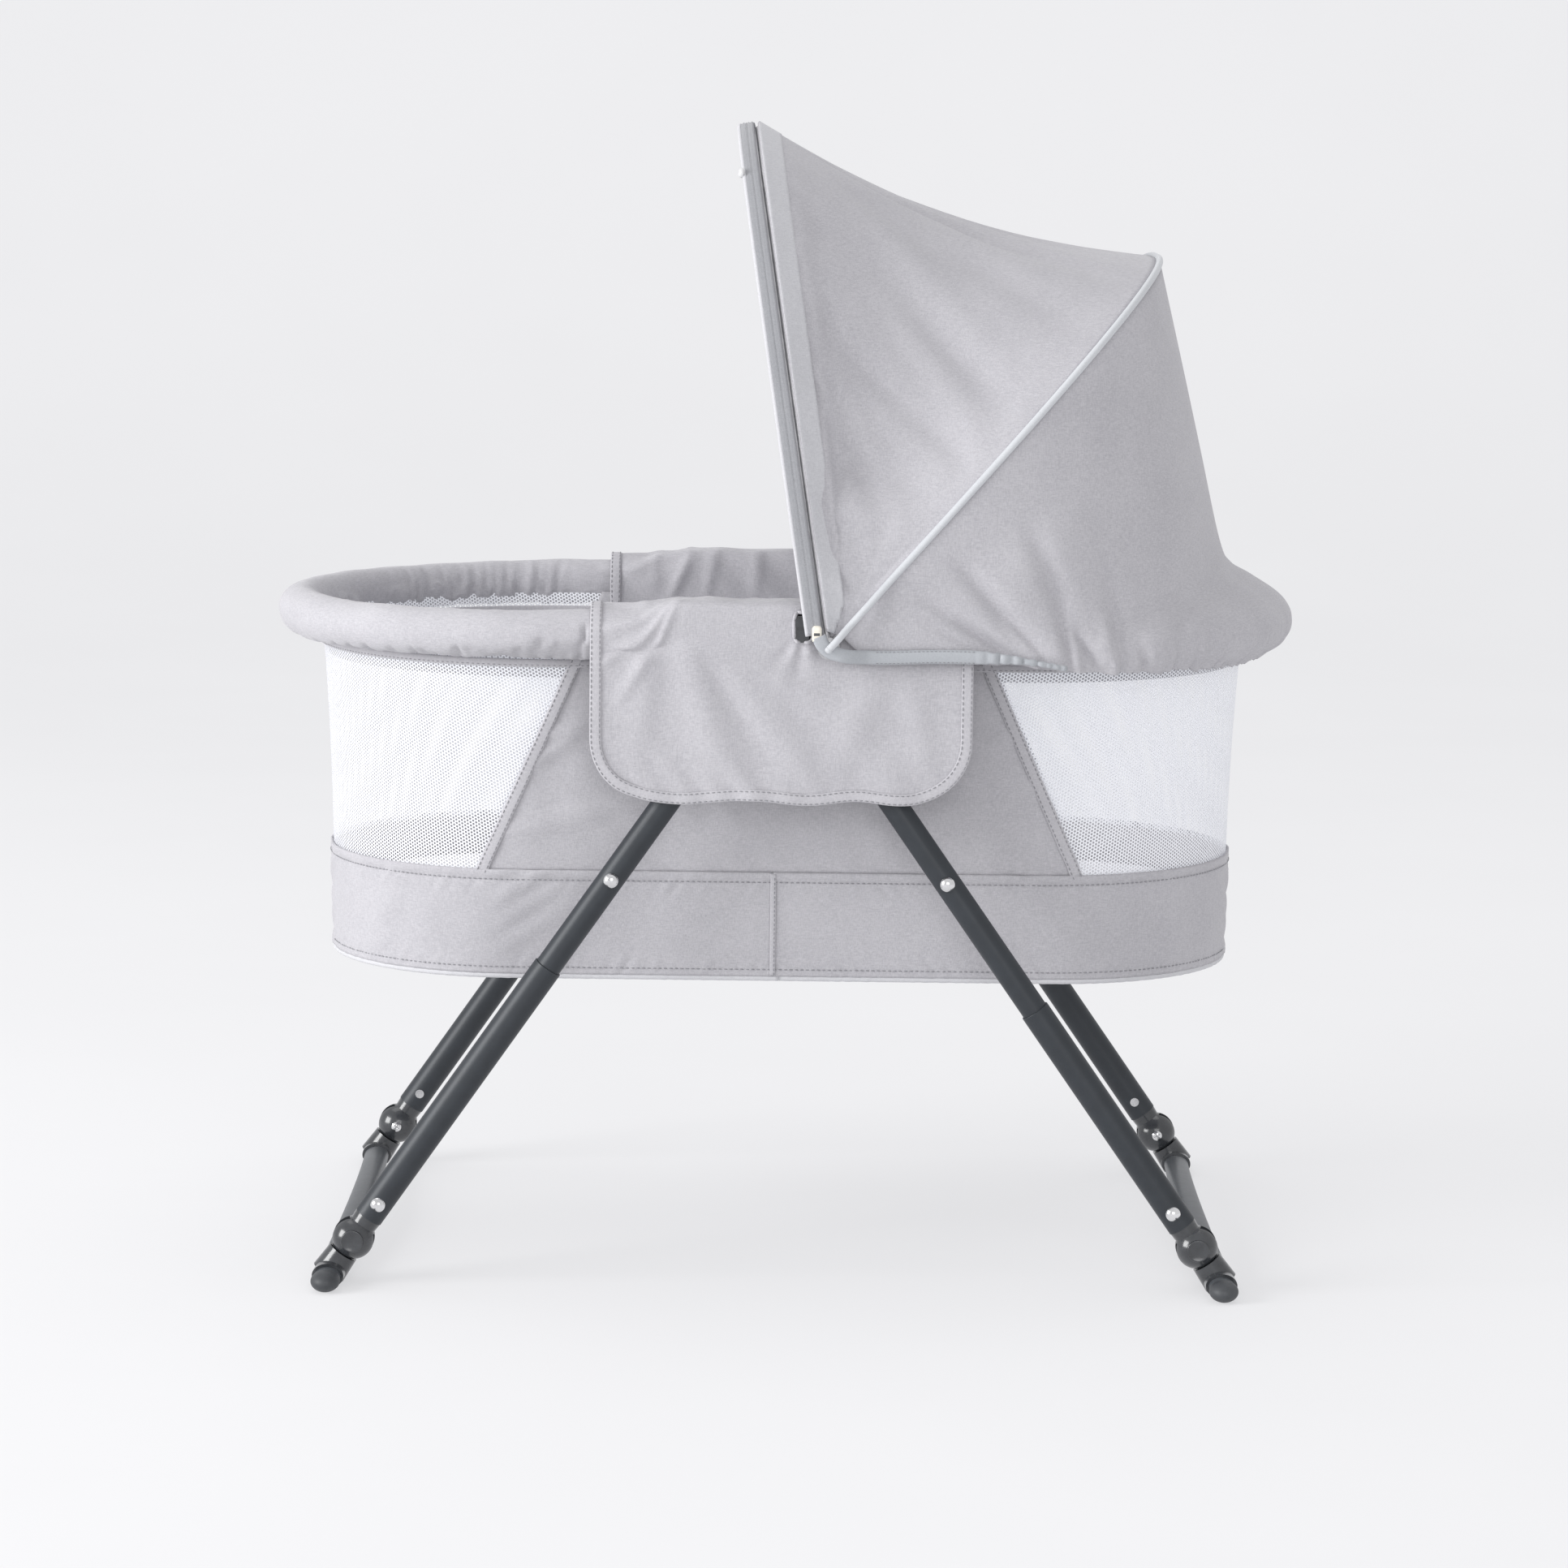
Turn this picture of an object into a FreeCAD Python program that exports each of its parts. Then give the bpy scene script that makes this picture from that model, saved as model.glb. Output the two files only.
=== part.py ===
import FreeCAD, Part
import math
import os

V = FreeCAD.Vector

# Frame: +X towards the canopy end, -Y the front side, +Z up, the floor at Z = 0. Millimetres.

# Rim: a steel ring in two halves inside a padded roll.
RIM_HALF = 190.0          # half length of the straight sides
RIM_R = 224.0             # radius of the rounded ends, centre line
RIM_Z = 545.5
TUBE_R = 8.0
PAD_R = 20.5
HUB_HALF = 82.0           # where the pads stop at the hubs

# Basket walls: stadium sections (height, half length, half width).
WALL = [(252.0, 387.0, 160.0), (342.0, 389.0, 176.0), (540.0, 398.5, 207.5)]
WALL_T = 3.0
PANEL_HALF_TOP = 170.0    # centre panel half width at PANEL_TOP_Z, wider below
PANEL_TOP_Z = 521.0
PANEL_SLOPE = 0.44
BAND_TOP = 342.0
BAND_T = 2.4
BASE_Z = 252.0
BOARD_T = 10.0
MATTRESS_TOP = 308.0
PIPING_R = 2.6

# Legs: pivot on the hubs, lean outwards, and end in ball knuckles.
LEG_Y = 230.0
LEG_TILT = 34.9
PIVOT_X = 30.0
LEG_LEN = 563.0           # pivot to knuckle
UPPER_R = 11.0
SLEEVE_R = 12.25
SLEEVE_START = {"l": 281.0, "r": 320.0}
SLEEVE_END = 541.0
UPPER_RIVET = 190.0
LOWER_RIVET = 526.0
BOLT_R = 4.0
FIT = 0.05                # radial running clearance

# Ball knuckles and feet.
BALL_R = 18.2
EAR_R = 14.6
EAR_HALF = 5.5
SLOT_HALF = 5.8
PIN_R = 3.0
BUTTON_R = 9.4
FOOT_DROP = 36.0          # ball centre to the end of the foot bar, along the leg
BAR_END_Y = 259.0
BAR_SAG = 14.0            # rise of the middle of the bar towards the ball line
BAR_A = 11.0
BAR_B = 7.8
PLUG_A = 12.2
PLUG_B = 9.0
SOLE_Z = 8.4              # height of the end plug's centre

# Hubs and canopy.
HUB_IN = 209.5
HUB_OUT = 246.0
CAN_X = 38.0
CAN_Z = 541.0
BOWS = {"front": (-8.6, 421.7, 262.2), "rear": (41.75, 411.5, 254.85)}  # tilt, height, half width
BOW_R = 3.0
BOW_POWER = 3.0
EYE_R = 9.0
EYE_HALF = 3.2
FABRIC_REACH = 0.966
PANEL_SAG = 24.0
SKIRT_SIDE = 33.0
# Rear panel round the rim's end: outwards of the rim line, height there, height at the sides.
SKIRT = [(-38, 611, 558), (-27, 590, 556), (-6, 578, 554), (18, 562, 552), (26.5, 545, 547),
         (25.5, 531, 539), (14, 513, 530)]
FLAP_HALF = 157.0
FLAP_LOW = 411.0
FLAP_Y = 247.0
FLAP_T = 2.2

SIN = math.sin(math.radians(LEG_TILT))
COS = math.cos(math.radians(LEG_TILT))
BALL_Z = SOLE_Z + FOOT_DROP * COS
PIVOT_Z = BALL_Z + LEG_LEN * COS


def save(shape, name):
    shape.exportStep("parts/" + name + ".step")


def cyl_y(radius, y0, y1, x=0.0, z=0.0):
    return Part.makeCylinder(radius, y1 - y0, V(x, y0, z), V(0, 1, 0))


def block(x0, x1, y0, y1, z0, z1):
    return Part.makeBox(x1 - x0, y1 - y0, z1 - z0, V(x0, y0, z0))


def rounded(shape, radius, along=None):
    edges = []
    for edge in shape.Edges:
        if along is None:
            edges.append(edge)
            continue
        a, b = edge.Vertexes[0].Point, edge.Vertexes[-1].Point
        if (b - a).Length > 0.01 and abs((b - a).normalize().dot(along)) > 0.99:
            edges.append(edge)
    return shape.makeFillet(radius, edges)


def side(shape, sy):
    """The front shape as drawn, or mirrored to the back."""
    return shape if sy < 0 else shape.mirror(V(0, 0, 0), V(0, 1, 0))


def union(shapes):
    whole = shapes[0]
    for shape in shapes[1:]:
        whole = whole.fuse(shape)
    return whole.removeSplitter()


# ---------------------------------------------------------------- rim and basket

def stadium(z, half_len, half_wid):
    s = half_len - half_wid
    r = half_wid
    lines = [
        Part.makeLine(V(-s, -r, z), V(s, -r, z)),
        Part.Arc(V(s, -r, z), V(s + r, 0, z), V(s, r, z)).toShape(),
        Part.makeLine(V(s, r, z), V(-s, r, z)),
        Part.Arc(V(-s, r, z), V(-s - r, 0, z), V(-s, -r, z)).toShape(),
    ]
    return Part.Wire(lines)


def rim_path(start, sx):
    s = RIM_HALF
    r = RIM_R
    z = RIM_Z
    lines = [
        Part.makeLine(V(sx * start, -r, z), V(sx * s, -r, z)),
        Part.Arc(V(sx * s, -r, z), V(sx * (s + r), 0, z), V(sx * s, r, z)).toShape(),
        Part.makeLine(V(sx * s, r, z), V(sx * start, r, z)),
    ]
    return Part.Wire(lines)


def rim_sweep(start, sx, radius):
    circle = Part.Wire(Part.makeCircle(radius, V(sx * start, -RIM_R, RIM_Z), V(1, 0, 0)))
    return rim_path(start, sx).makePipeShell([circle], True, False)


def wall_loft(levels, grow):
    wires = [stadium(z, a + grow, b + grow) for z, a, b in levels]
    return Part.makeLoft(wires, True, True)


def section_at(z):
    for (z0, a0, b0), (z1, a1, b1) in zip(WALL, WALL[1:]):
        if z <= z1:
            t = (z - z0) / (z1 - z0)
            return a0 + t * (a1 - a0), b0 + t * (b1 - b0)
    return WALL[-1][1:]


def wall_shell(z0, z1, outer, inner):
    def grown(grow, low, high):
        levels = [(low,) + section_at(z0)] + [w for w in WALL if z0 < w[0] < z1]
        levels.append((high,) + section_at(z1))
        return wall_loft(levels, grow)
    return grown(outer, z0, z1).cut(grown(inner, z0 - 0.001, z1 + 0.001))


def panel_region(y0, y1, grow=0.0):
    top = 560.0
    low = 330.0
    half_top = PANEL_HALF_TOP + (PANEL_TOP_Z - top) * PANEL_SLOPE + grow
    half_low = PANEL_HALF_TOP + (PANEL_TOP_Z - low) * PANEL_SLOPE + grow
    points = [(-half_low, low), (half_low, low), (half_top, top), (-half_top, top)]
    wire = Part.makePolygon([V(x, y0, z) for x, z in points + points[:1]])
    return Part.Face(wire).extrude(V(0, y1 - y0, 0))


def make_rim():
    for name, sx in (("left", -1), ("right", 1)):
        save(rim_sweep(60.0, sx, TUBE_R), "rim_tube_" + name)
        pad = rim_sweep(HUB_HALF, sx, PAD_R).cut(rim_sweep(HUB_HALF - 5, sx, TUBE_R))
        save(pad, "rim_pad_" + name)


def make_walls():
    wall = wall_shell(BAND_TOP, 540.0, 0.0, -WALL_T)
    for sx in (-1, 1):
        wall = wall.cut(rim_sweep(HUB_HALF - 5, sx, PAD_R))
    wall = wall.cut(block(-HUB_HALF - 0.5, HUB_HALF + 0.5, -260, 260, 521.5, 545))
    for name, y0, y1 in (("front", -260, 0), ("rear", 0, 260)):
        save(wall.common(panel_region(y0, y1)), "panel_" + name)
    rest = wall.cut(panel_region(-260, 260, 0.02))
    save(rest.common(block(-450, 0, -260, 260, 300, 560)), "mesh_left")
    save(rest.common(block(0, 450, -260, 260, 300, 560)), "mesh_right")
    band = wall_shell(BASE_Z, BAND_TOP, BAND_T, -0.6)
    save(band.common(block(-450, -5.01, -260, 260, 200, 400)), "band_left")
    save(band.common(block(-4.99, 450, -260, 260, 200, 400)), "band_right")


def make_base():
    a, b = section_at(BASE_Z)
    board = Part.Face(stadium(BASE_Z, a - 1.0, b - 1.0)).extrude(V(0, 0, BOARD_T))
    save(board, "base_board")
    low = BASE_Z + BOARD_T
    pad = Part.Face(stadium(low, a - 6.0, b - 6.0)).extrude(V(0, 0, MATTRESS_TOP - low))
    tops = [e for e in pad.Edges if min(v.Z for v in e.Vertexes) > MATTRESS_TOP - 1]
    save(pad.makeFillet(10.0, tops), "mattress")
    r = PIPING_R
    z = BASE_Z - r
    path = stadium(z, a + BAND_T - r, b + BAND_T - r)
    circle = Part.Wire(Part.makeCircle(r, V(0, -(b + BAND_T - r), z), V(1, 0, 0)))
    save(path.makePipeShell([circle], True, False), "piping")


# ---------------------------------------------------------------- hubs and flaps

def hub_shape():
    """The front hub: a block over the rim with two plates down to the leg pivots."""
    top = rounded(block(-HUB_HALF, HUB_HALF, -HUB_OUT, -205.0, 522, 571), 12.0, V(0, 1, 0))
    plates = []
    for y0, y1 in ((-HUB_OUT, -LEG_Y - UPPER_R - 0.5), (-LEG_Y + UPPER_R + 0.5, -HUB_IN)):
        plate = block(-62, 62, y0, y1, PIVOT_Z - 24, 560)
        plates.append(rounded(plate, 18.0, V(0, 1, 0)))
    hub = union([top] + plates)
    hub = hub.cut(Part.makeCylinder(TUBE_R, 300, V(-150, -RIM_R, RIM_Z), V(1, 0, 0)))
    for x in (-PIVOT_X, PIVOT_X):
        hub = hub.cut(cyl_y(BOLT_R, -260, -200, x, PIVOT_Z))
    hub = hub.cut(cyl_y(PIN_R, -260, -240, CAN_X, CAN_Z))
    return hub.cut(block(10.5, 22.5, -260, -239, 543.5, 566.5))


def bolts_shape():
    parts = []
    for x in (-PIVOT_X, PIVOT_X):
        shaft = cyl_y(BOLT_R, -HUB_OUT, -HUB_IN + 0.0, x, PIVOT_Z)
        head = cyl_y(7.0, -HUB_IN, -HUB_IN + 2.2, x, PIVOT_Z)
        parts.append(union([shaft, head]))
    shaft = cyl_y(PIN_R, -267.0, -240.0, CAN_X, CAN_Z)
    head = cyl_y(6.5, -268.6, -266.2, CAN_X, CAN_Z)
    parts.append(union([shaft, head]))
    return Part.makeCompound(parts)


def latch_shape():
    body = rounded(block(11, 22, -251.5, -242.5, 544, 566), 2.5, V(0, 1, 0))
    groove = block(9, 24, -253, -250.3, 553.5, 556.5)
    return body.cut(groove)


def flap_shape():
    """The front cover flap: over the rim and hub, then straight down."""
    y = FLAP_Y
    line = [(-200.6, 548), (-202, 574), (-y + 2.5, 574.5), (-y, 572), (-y, FLAP_LOW)]
    outer = [(-198.2, 548), (-199.4, 576.6), (-y + 1.5, 577), (-y - FLAP_T, 573), (-y - FLAP_T, FLAP_LOW)]
    loop = line + outer[::-1]
    points = [V(-FLAP_HALF, py, pz) for py, pz in loop]
    sheet = Part.Face(Part.makePolygon(points + points[:1])).extrude(V(2 * FLAP_HALF, 0, 0))
    outline = rounded(block(-FLAP_HALF, FLAP_HALF, -300, -150, FLAP_LOW, 700), 52.0, V(0, 1, 0))
    sheet = sheet.common(outline)
    return sheet.cut(block(7, 52, -300, -241, 527, 570))


def make_hubs():
    for name, sy in (("front", -1), ("rear", 1)):
        save(side(hub_shape(), sy), "hub_" + name)
        save(side(bolts_shape(), sy), "bolts_" + name)
        save(side(latch_shape(), sy), "latch_" + name)
        save(side(flap_shape(), sy), "flap_" + name)


# ---------------------------------------------------------------- legs

def place_leg(shape, sx, sy):
    """Drawn hanging straight down from the pivot, with its outer side at -Y."""
    shape = side(shape, sy)
    shape.rotate(V(0, 0, 0), V(0, 1, 0), -sx * LEG_TILT)
    shape.translate(V(sx * PIVOT_X, sy * LEG_Y, PIVOT_Z))
    return shape


def tube_z(r_out, r_in, s0, s1):
    outer = Part.makeCylinder(r_out, s1 - s0, V(0, 0, -s1))
    return outer.cut(Part.makeCylinder(r_in, s1 - s0 + 2, V(0, 0, -s1 - 1)))


def rivet_y(s):
    """A through rivet with a domed head on the outer side."""
    head = Part.makeSphere(7.0, V(0, -SLEEVE_R + 3.6, -s))
    head = head.common(block(-8, 8, -30, -SLEEVE_R + 0.2, -s - 8, -s + 8))
    return union([head, cyl_y(2.5, -SLEEVE_R, 12.9, 0, -s), cyl_y(4.0, 12.35, 13.2, 0, -s)])


def rivets_shape():
    upper = rivet_y(UPPER_RIVET)
    upper = union([upper, cyl_y(4.6, -SLEEVE_R, -UPPER_R + 0.4, 0, -UPPER_RIVET)])
    return upper, rivet_y(LOWER_RIVET)


def upper_tube_shape(rivet):
    tube = tube_z(UPPER_R, 9.4, -13.0, 345.0)
    tube = tube.cut(cyl_y(BOLT_R + FIT, -20, 20))
    return tube.cut(rivet)


def sleeve_shape(start, rivet):
    sleeve = tube_z(SLEEVE_R, UPPER_R + 0.1, start, SLEEVE_END)
    mouth = [e for e in sleeve.Edges if abs(e.BoundBox.ZMax + start) < 0.01]
    mouth = [e for e in mouth if e.BoundBox.XLength > 2 * SLEEVE_R - 0.1]
    return sleeve.makeFillet(0.6, mouth).cut(rivet)


def knuckle_shape(rivet):
    """A plug in the tube, a neck and a split ball with a button pocket outside."""
    c = V(0, 0, -LEG_LEN)
    plug = Part.makeCylinder(UPPER_R - 0.1, 34, V(0, 0, -SLEEVE_END))
    neck = Part.makeCone(10.4, 11.9, LEG_LEN - SLEEVE_END, c)
    body = union([plug, neck, Part.makeSphere(BALL_R, c)])
    slot = cyl_y(EAR_R + 0.6, -SLOT_HALF, SLOT_HALF, 0, -LEG_LEN)
    slot = slot.fuse(block(-30, 30, -SLOT_HALF, SLOT_HALF, -LEG_LEN - 30, -LEG_LEN + 13))
    body = body.cut(slot)
    body = body.cut(cyl_y(BUTTON_R + 0.1, -30, -7.5, 0, -LEG_LEN))
    body = body.cut(cyl_y(PIN_R, -7.0, 30, 0, -LEG_LEN))
    body = body.cut(cyl_y(4.6, 16.0, 30, 0, -LEG_LEN))
    return body.cut(rivet)


def pin_shape():
    shaft = cyl_y(PIN_R, -7.0, 17.0, 0, -LEG_LEN)
    head = Part.makeSphere(6.5, V(0, 13.2, -LEG_LEN)).common(cyl_y(4.5, 16.0, 25, 0, -LEG_LEN))
    cross = block(-3, 3, 18.6, 25, -LEG_LEN - 0.6, -LEG_LEN + 0.6)
    cross = cross.fuse(block(-0.6, 0.6, 18.6, 25, -LEG_LEN - 3, -LEG_LEN + 3))
    return union([shaft, head]).cut(cross)


def button_shape():
    body = cyl_y(BUTTON_R, -17.0, -10.2, 0, -LEG_LEN)
    rim = [e for e in body.Edges if e.BoundBox.YMax < -16.9]
    body = body.makeFillet(0.8, rim)
    return body.cut(Part.makeSphere(32.0, V(0, -48.0, -LEG_LEN)))


def make_legs():
    for lr, sx in (("l", -1), ("r", 1)):
        for fb, sy in (("f", -1), ("b", 1)):
            tag = lr + fb
            upper, lower = rivets_shape()
            parts = {
                "upper_tube_": upper_tube_shape(upper),
                "sleeve_": sleeve_shape(SLEEVE_START[lr], lower),
                "knuckle_": knuckle_shape(lower),
                "knuckle_pin_": pin_shape(),
                "button_": button_shape(),
                "rivets_": Part.makeCompound([upper, lower]),
            }
            for name, shape in parts.items():
                save(place_leg(shape, sx, sy), name + tag)


# ---------------------------------------------------------------- feet

def ellipse_face(a, b, hole=None):
    """In the XZ plane, centred on the origin."""
    def wire(p, q):
        curve = Part.Ellipse(V(p, 0, 0), V(0, 0, q), V(0, 0, 0))
        return Part.Wire(curve.toShape())
    face = Part.Face(wire(a, b))
    return face.cut(Part.Face(wire(*hole))) if hole else face


def bar_sweep(face, sx, y0, y1):
    """Sweeps a section drawn at the bar's middle along the bar's gentle arc."""
    out = V(sx * SIN, 0, -COS)
    radius = (BAR_END_Y ** 2 + BAR_SAG ** 2) / (2 * BAR_SAG)
    ball = V(sx * (PIVOT_X + LEG_LEN * SIN), 0, BALL_Z)
    middle = ball + out * (FOOT_DROP - BAR_SAG)
    centre = middle + out * radius
    axis = out.cross(V(0, 1, 0))
    turned = face.copy()
    turned.translate(middle)
    a0 = math.degrees(math.asin(y0 / radius))
    a1 = math.degrees(math.asin(y1 / radius))
    turned.rotate(centre, axis, a0)
    if turned.BoundBox.YMin * y0 < 0:
        turned.rotate(centre, axis, -2 * a0)
        axis = axis * -1
    return turned.revolve(centre, axis, a1 - a0)


def ear_shape(sx, sy):
    """The foot's ear between the ball's cheeks, with its web down to the socket."""
    ear = cyl_y(EAR_R, -EAR_HALF, EAR_HALF)
    web = block(-9.0, 9.0, -EAR_HALF, EAR_HALF, -31.0, 0)
    stub = Part.makeCone(13.0, 14.4, 22.0, V(0, 0, -15.0), V(0, 0, -1))
    stub = stub.cut(Part.makeSphere(BALL_R + 0.5, V(0, 0, 0)))
    ear = union([ear, web, stub]).cut(cyl_y(PIN_R + FIT, -20, 20))
    ear.rotate(V(0, 0, 0), V(0, 1, 0), -sx * LEG_TILT)
    ear.translate(V(sx * (PIVOT_X + LEG_LEN * SIN), sy * LEG_Y, BALL_Z))
    return ear


def socket_shape(sx, sy):
    y0, y1 = sorted((sy * (LEG_Y - 22.0), sy * (LEG_Y + 19.0)))
    clamp = bar_sweep(ellipse_face(BAR_A + 2.3, BAR_B + 2.6), sx, y0, y1)
    bar = bar_sweep(ellipse_face(BAR_A + 0.02, BAR_B + 0.02), sx, y0 - 4, y1 + 4)
    body = union([clamp, ear_shape(sx, sy)])
    gap = Part.makeSphere(BALL_R + 0.5, V(sx * (PIVOT_X + LEG_LEN * SIN), sy * LEG_Y, BALL_Z))
    gap = gap.cut(block(-900, 900, sy * LEG_Y - EAR_HALF, sy * LEG_Y + EAR_HALF, -100, 200))
    floor = block(-900, 900, -300, 300, -20, 0.8)
    return body.cut(bar).cut(gap).cut(floor)


def plug_shape(sx, sy):
    """A rounded end plug with a flat sole."""
    x = sx * (PIVOT_X + (LEG_LEN + FOOT_DROP) * SIN)
    dome = Part.makeSphere(1.0)
    scale = FreeCAD.Matrix(PLUG_A, 0, 0, 0, 0, 15.0, 0, 0, 0, 0, PLUG_B, 0, 0, 0, 0, 1)
    dome = dome.transformGeometry(scale)
    y = sy * (BAR_END_Y + 4.0)
    dome.translate(V(x, y, SOLE_Z))
    y0, y1 = sorted((y - sy * 3.5, y + sy * 20))
    dome = dome.common(block(x - 30, x + 30, y0, y1, 0, 40))
    return dome


def make_feet():
    for name, sx in (("left", -1), ("right", 1)):
        bar = bar_sweep(ellipse_face(BAR_A, BAR_B, (BAR_A - 1.5, BAR_B - 1.5)), sx, -BAR_END_Y, BAR_END_Y)
        save(bar, "foot_bar_" + name)
        plugs = [plug_shape(sx, sy).cut(bar_sweep(ellipse_face(BAR_A, BAR_B), sx, -BAR_END_Y, BAR_END_Y))
                 for sy in (-1, 1)]
        save(Part.makeCompound(plugs), "plugs_" + name)
        for tag, sy in (("f", -1), ("b", 1)):
            save(socket_shape(sx, sy), "socket_" + name[0] + tag)


# ---------------------------------------------------------------- canopy

def bow_point(bow, t, grow=0.0, back=0.0):
    """A point of a bow's arch: t runs from -1 at the front eye to 1 at the rear eye."""
    tilt, height, half = BOWS[bow]
    turn = (t + 1) * math.pi / 2
    c = math.cos(turn)
    s = math.sin(turn)
    width = half + grow
    tall = height + grow
    reach = (abs(c / width) ** BOW_POWER + abs(s / tall) ** BOW_POWER) ** (-1 / BOW_POWER)
    a = math.radians(tilt)
    h = reach * s
    x = CAN_X + h * math.sin(a) - back * math.cos(a)
    return V(x, -reach * c, CAN_Z + h * math.cos(a) + back * math.sin(a))


def bow_curve(bow, count=33, reach=1.0, grow=0.0, back=0.0):
    points = [bow_point(bow, -reach + 2 * reach * i / (count - 1), grow, back) for i in range(count)]
    curve = Part.BSplineCurve()
    curve.interpolate(points)
    return curve, points


def bow_shape(bow):
    tilt, height, half = BOWS[bow]
    curve, points = bow_curve(bow)
    path = Part.Wire(curve.toShape())
    circle = Part.Wire(Part.makeCircle(BOW_R, points[0], curve.tangent(curve.FirstParameter)[0]))
    tube = path.makePipeShell([circle], True, False)
    eyes = [cyl_y(EYE_R, sy * half - EYE_HALF, sy * half + EYE_HALF, CAN_X, CAN_Z) for sy in (-1, 1)]
    body = union([tube] + eyes)
    for sy in (-1, 1):
        body = body.cut(cyl_y(PIN_R + FIT, sy * half - 5, sy * half + 5, CAN_X, CAN_Z))
    return body


def row_curve(points):
    curve = Part.BSplineCurve()
    curve.interpolate(points)
    return curve.toShape()


def skin_solid(rows, inward):
    """A closed thin skin: ruled strips between rows of points, outside and inside."""
    inner_rows = [[p + inward(p) for p in row] for row in rows]
    outer = [row_curve(row) for row in rows]
    inner = [row_curve(row) for row in inner_rows]
    faces = [Part.makeRuledSurface(outer[0], inner[0]), Part.makeRuledSurface(outer[-1], inner[-1])]
    for j in range(len(rows) - 1):
        faces.append(Part.makeRuledSurface(outer[j], outer[j + 1]))
        faces.append(Part.makeRuledSurface(inner[j], inner[j + 1]))
        for end in (0, -1):
            a = Part.makeLine(rows[j][end], rows[j + 1][end])
            b = Part.makeLine(inner_rows[j][end], inner_rows[j + 1][end])
            faces.append(Part.makeRuledSurface(a, b))
    shell = Part.makeShell(faces)
    shell.sewShape()
    solid = Part.makeSolid(shell)
    solid.fix(1e-4, 1e-4, 1e-3)
    return solid


def towards(p):
    core = V(CAN_X + 90, 0, min(p.z, CAN_Z + 60))
    return (core - p).normalize() * 1.8


def front_panel():
    rows = []
    for j in range(7):
        v = j / 6.0
        row = []
        for i in range(25):
            t = FABRIC_REACH * (i / 12.0 - 1)
            a = bow_point("front", t, 6.2)
            b = bow_point("rear", t, 6.2)
            p = a + (b - a) * v
            sag = 4 * v * (1 - v) * PANEL_SAG * math.cos(t * math.pi / 2)
            row.append(p + (V(CAN_X, 0, CAN_Z) - p).normalize() * sag)
        rows.append(row)
    return skin_solid(rows, towards)


def hem_point(t, grow, z):
    """Plan of the rim's outside on the canopy end; t as for the bows."""
    r = RIM_R + grow
    start = CAN_X + 14
    straight = RIM_HALF - start
    d = (1 - abs(t)) * (straight + r * math.pi / 2)
    sy = -1 if t < 0 else 1
    if d < straight:
        return V(start + d, sy * r, z)
    a = (d - straight) / r
    return V(RIM_HALF + r * math.sin(a), sy * r * math.cos(a), z)


def rear_panel():
    """From the rear bow almost straight down, flaring out round the rim to a tucked hem."""
    rows = [[] for level in range(len(SKIRT) + 3)]
    for i in range(25):
        t = FABRIC_REACH * (i / 12.0 - 1)
        end = math.cos(t * math.pi / 2) ** 3.2
        a = bow_point("rear", t, 6.2)
        low = []
        for grow, z_end, z_side in SKIRT:
            low.append(hem_point(t, SKIRT_SIDE + (grow - SKIRT_SIDE) * end, z_side + (z_end - z_side) * end))
        drop = low[0] - a
        first = a + V(drop.x, drop.y, drop.z).normalize() * 1.5
        points = [first, a + drop * 0.33, a + drop * 0.66] + low
        for row, p in zip(rows, points):
            row.append(p)
    return skin_solid(rows, towards)


def strip_shape():
    """The zip tape along the front of the front bow."""
    rows = []
    for back in (4.0, 10.0, 16.0):
        rows.append([bow_point("front", 0.97 * (i / 12.0 - 1), 4.8, back) for i in range(25)])
    return skin_solid(rows, towards)


def zip_fittings():
    low = bow_point("front", -0.971, 7.2, 8.0)
    stop = rounded(block(low.x - 4, low.x + 4, low.y - 1.6, low.y + 1.6, low.z - 6, low.z + 8), 1.2, V(0, 1, 0))
    high = bow_point("front", -0.262, 6.5, 17.5)
    pull = Part.makeCylinder(4.2, 3.0, high, V(-1, 0, 0))
    return Part.makeCompound([stop, pull])


def make_canopy():
    save(bow_shape("front"), "bow_front")
    save(bow_shape("rear"), "bow_rear")
    save(front_panel(), "canopy_front_panel")
    save(rear_panel(), "canopy_rear_panel")
    save(strip_shape(), "zip_strip")
    save(zip_fittings(), "zip_fittings")


os.makedirs("parts", exist_ok=True)
make_rim()
make_walls()
make_base()
make_hubs()
make_legs()
make_feet()
make_canopy()
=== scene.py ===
import math

import bpy
import numpy as np
from mathutils import Matrix, Vector


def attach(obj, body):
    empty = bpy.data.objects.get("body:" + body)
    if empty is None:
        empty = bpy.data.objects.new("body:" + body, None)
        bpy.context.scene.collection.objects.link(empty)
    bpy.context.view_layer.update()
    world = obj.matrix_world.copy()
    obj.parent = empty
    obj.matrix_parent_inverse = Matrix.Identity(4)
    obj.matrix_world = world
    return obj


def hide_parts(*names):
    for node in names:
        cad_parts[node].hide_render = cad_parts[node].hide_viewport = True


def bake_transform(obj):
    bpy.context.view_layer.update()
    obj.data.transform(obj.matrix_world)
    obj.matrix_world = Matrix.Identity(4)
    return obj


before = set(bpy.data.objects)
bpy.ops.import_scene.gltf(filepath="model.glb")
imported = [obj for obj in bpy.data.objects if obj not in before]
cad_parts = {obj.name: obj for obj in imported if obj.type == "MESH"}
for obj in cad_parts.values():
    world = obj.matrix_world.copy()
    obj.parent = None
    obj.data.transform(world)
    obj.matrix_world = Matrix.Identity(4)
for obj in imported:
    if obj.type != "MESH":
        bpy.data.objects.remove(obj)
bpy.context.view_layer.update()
MM = 0.001

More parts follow.
